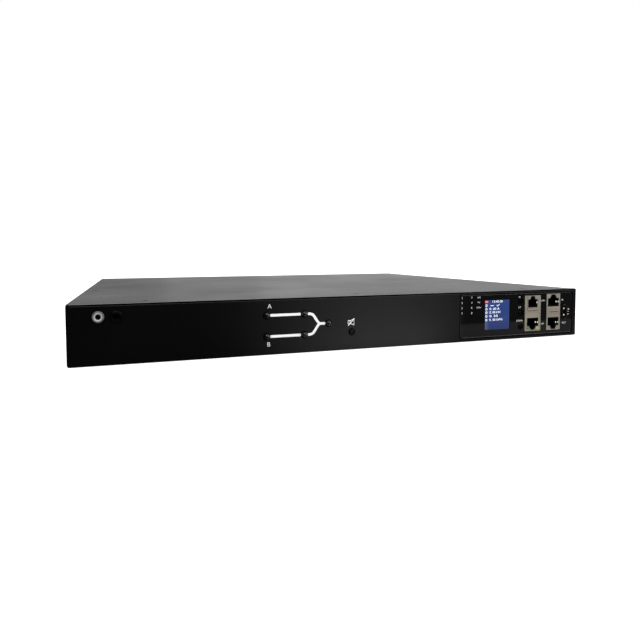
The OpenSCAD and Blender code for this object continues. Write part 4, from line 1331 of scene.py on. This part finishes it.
@dataclass
class RearSockets(Assembly):
    """The inlets and outlets with their words."""

    print_t: float = 0.04 * MM
    word_h: float = 3.0 * MM
    word_x: float = 8.3 * MM
    word_z: float = 2.3 * MM

    def build(self) -> None:
        """Dresses the sockets and prints the inlets' words and numbers."""
        self.dress(SOCKET_BLACK, "inlet_1", "inlet_2")
        self.dress(BLADE_PLATE, "inlet_blades")
        self.dress(OUTLET_GREY, *(f"outlet_{number}" for number in range(1, 9)))
        self.dress(CONTACT_GOLD, "outlet_contacts")
        self.dress(RAIL_BRASS, "live_rail", "neutral_rail", "earth_rail")
        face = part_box("rear_panel")[1].y
        for number in (1, 2):
            low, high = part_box(f"inlet_{number}")
            z = (low.z + high.z) / 2
            x = low.x - self.word_x if low.x > 0 else high.x + self.word_x
            for kind, text, side in (("word", "input", 1), ("number", str(number), -1)):
                figure = Bench.figure(text, self.word_h, self.print_t)
                at = Vector((x, face, z + side * self.word_z))
                self.fit(figure, f"inlet_{kind}_{number}", INK_WHITE, "case_paint", at, Facing.REAR)


@dataclass
class Inside(Assembly):
    """The boards and what stands on them."""

    def build(self) -> None:
        """Dresses the inner nodes."""
        boards = ("display", "mimic", "comm", "power", "control")
        self.dress(BOARD_GREEN, *(f"{board}_board" for board in boards))
        self.dress(SWITCH_TIN, "key_switches")
        self.dress(SINK_ALLOY, "heatsink_a", "heatsink_b")
        self.dress(MODULE_BLACK, "thyristors", "relays", "transformers", "control_chips")
        self.dress(SLEEVE_BLUE, "capacitors")
        self.dress(CORE_BLUE, "current_sensors")
        self.dress(FILM_IVORY, "insulation_sheet")
        self.dress(RAIL_BRASS, "standoffs")
        self.dress(SCREW_PLATE, "board_screws", "panel_nuts")


# ---- Studio ----


@dataclass
class Studio:
    """Floor, lights, backdrop and camera."""

    camera_at: Triple = (-0.1713, -0.5884, 0.0792)
    look: Triple = (0.305, 0.951, -0.053)
    roll: float = math.radians(-0.3)
    lens: float = 29.56
    shift: Pair = (0.020, -0.0625)
    soft_level: float = 0.5
    gloss_level: float = 0.006
    floor_colour: Colour = (0.8, 0.8, 0.8)
    dark_colour: Colour = (0.004, 0.004, 0.004)
    floor_w: float = 12.0
    floor_z: float = -0.3 * MM
    floor_glow: float = 0.8
    mirror_y: float = 0.1954
    # Where the floor's painted reflections lie, and how bright they are.
    panel_rise: Pair = (0.14, 0.5)
    panel_fall: Pair = (0.56, 0.7)
    panel_foot: Pair = (0.1, 0.2)
    window_edge: Pair = (0.16, 0.164)
    panel_level: float = 0.6
    foot_level: float = 0.26
    window_level: float = 0.17
    aim: Triple = (0.0, 0.0, 0.02)
    lamps: tuple[tuple[str, Triple, Pair, float], ...] = (
        ("key_light", (-0.9, -1.1, 1.7), (1.2, 1.2), 14.0),
        ("fill_light", (1.3, -1.5, 1.1), (1.4, 1.0), 24.0),
        ("sky_light", (0.3, 0.4, 2.0), (1.6, 1.6), 14.0),
        ("back_light", (0.9, 3.4, 0.7), (6.4, 1.3), 13.2),
        ("back_light_middle", (1.9, 3.5, 0.7), (4.2, 1.3), 3.0),
        ("back_light_right", (2.3, 3.6, 0.7), (3.2, 1.3), 2.4),
    )

    def build(self) -> None:
        """Sets the stage around the object."""
        self.floor()
        self.world()
        self.lights()
        self.camera()
        bpy.context.scene.view_settings.view_transform = "Standard"

    def floor(self) -> None:
        """Lays a floor: white to the eye with a soft shadow, and dark in most reflections but for painted
        bright patches where the front panel and the window mirror it.
        """
        Bench.pick()
        bpy.ops.mesh.primitive_plane_add(size=self.floor_w, location=(0.0, 0.0, self.floor_z))
        floor = bpy.context.object
        floor.name = "floor"
        graph = Graph("floor_pale")
        seen = graph.node("LightPath", output="Is Camera Ray")
        mirrored = graph.node("LightPath", output="Is Glossy Ray")
        reach = graph.math("MAXIMUM", self.mirror_y - graph.axis("Y"), 0.01)
        across = graph.math("DIVIDE", graph.axis("X") - self.camera_at[0], reach)
        near = graph.math("DIVIDE", self.camera_at[2], reach)
        # Painted reflections: patches of the floor, seen only in reflections, made bright where the front
        # panel and the window mirror them.
        panel = graph.ramp(across, *self.panel_rise) * (1.0 - graph.ramp(across, *self.panel_fall))
        window = graph.ramp(across, *self.panel_fall) * graph.ramp(near, *self.window_edge)
        foot = graph.ramp(near, *self.panel_foot) * self.foot_level + self.panel_level
        dim = mirrored * (1.0 - panel * foot - window * self.window_level)
        graph.dress(
            base_color=graph.tint(dim, self.floor_colour, self.dark_colour),
            emission_color=graph.tint(seen, BLACK, WHITE),
            roughness=0.95,
            emission_strength=self.floor_glow,
        )
        floor.data.materials.append(graph.material)

    def world(self) -> None:
        """Makes the surroundings white to the eye, soft as a light and dim in reflections."""
        world = bpy.data.worlds.new("studio")
        bpy.context.scene.world = world
        world.use_nodes = True
        tree = world.node_tree
        tree.nodes.clear()
        kinds = ("LightPath", "MapRange", "MapRange", "Background", "OutputWorld")
        path, dimmed, shown, background, output = (tree.nodes.new(f"ShaderNode{kind}") for kind in kinds)
        dimmed.inputs["To Min"].default_value = self.soft_level
        dimmed.inputs["To Max"].default_value = self.gloss_level
        background.inputs["Color"].default_value = (*WHITE, 1.0)
        for source, target in (
            (path.outputs["Is Glossy Ray"], dimmed.inputs["Value"]),
            (path.outputs["Is Camera Ray"], shown.inputs["Value"]),
            (dimmed.outputs[0], shown.inputs["To Min"]),
            (shown.outputs[0], background.inputs["Strength"]),
            (background.outputs[0], output.inputs["Surface"]),
        ):
            tree.links.new(source, target)

    def lights(self) -> None:
        """Hangs soft lamps over the object, to its sides and low behind it."""
        for name, at, size, power in self.lamps:
            data = bpy.data.lights.new(name, "AREA")
            data.shape = "RECTANGLE"
            data.size, data.size_y = size
            data.energy = power
            lamp = bpy.data.objects.new(name, data)
            bpy.context.scene.collection.objects.link(lamp)
            lamp.location = at
            way = Vector(self.aim) - Vector(at)
            lamp.rotation_euler = way.to_track_quat("-Z", "Y").to_euler()
            log.info("hung %s", name)

    def camera(self) -> None:
        """Puts the camera in front of the object, low and to its left."""
        data = bpy.data.cameras.new("camera")
        data.lens = self.lens
        data.sensor_width = 36.0
        data.shift_x, data.shift_y = self.shift
        data.clip_start, data.clip_end = 0.01, 50.0
        camera = bpy.data.objects.new("camera", data)
        bpy.context.scene.collection.objects.link(camera)
        turn = Vector(self.look).to_track_quat("-Z", "Y").to_matrix() @ Matrix.Rotation(self.roll, 3, "Z")
        camera.rotation_euler = turn.to_euler()
        camera.location = self.camera_at
        bpy.context.scene.camera = camera


def main() -> None:
    """Loads the frame, dresses it and sets the stage."""
    logging.basicConfig(level=logging.INFO, format="%(message)s")
    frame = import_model()
    for assembly in (SheetMetal, MimicFront, DisplaySection, SignalSockets, RearSockets, Inside):
        assembly(frame["nodes"]).build()
    Studio().build()


if __name__ == "__main__":
    main()
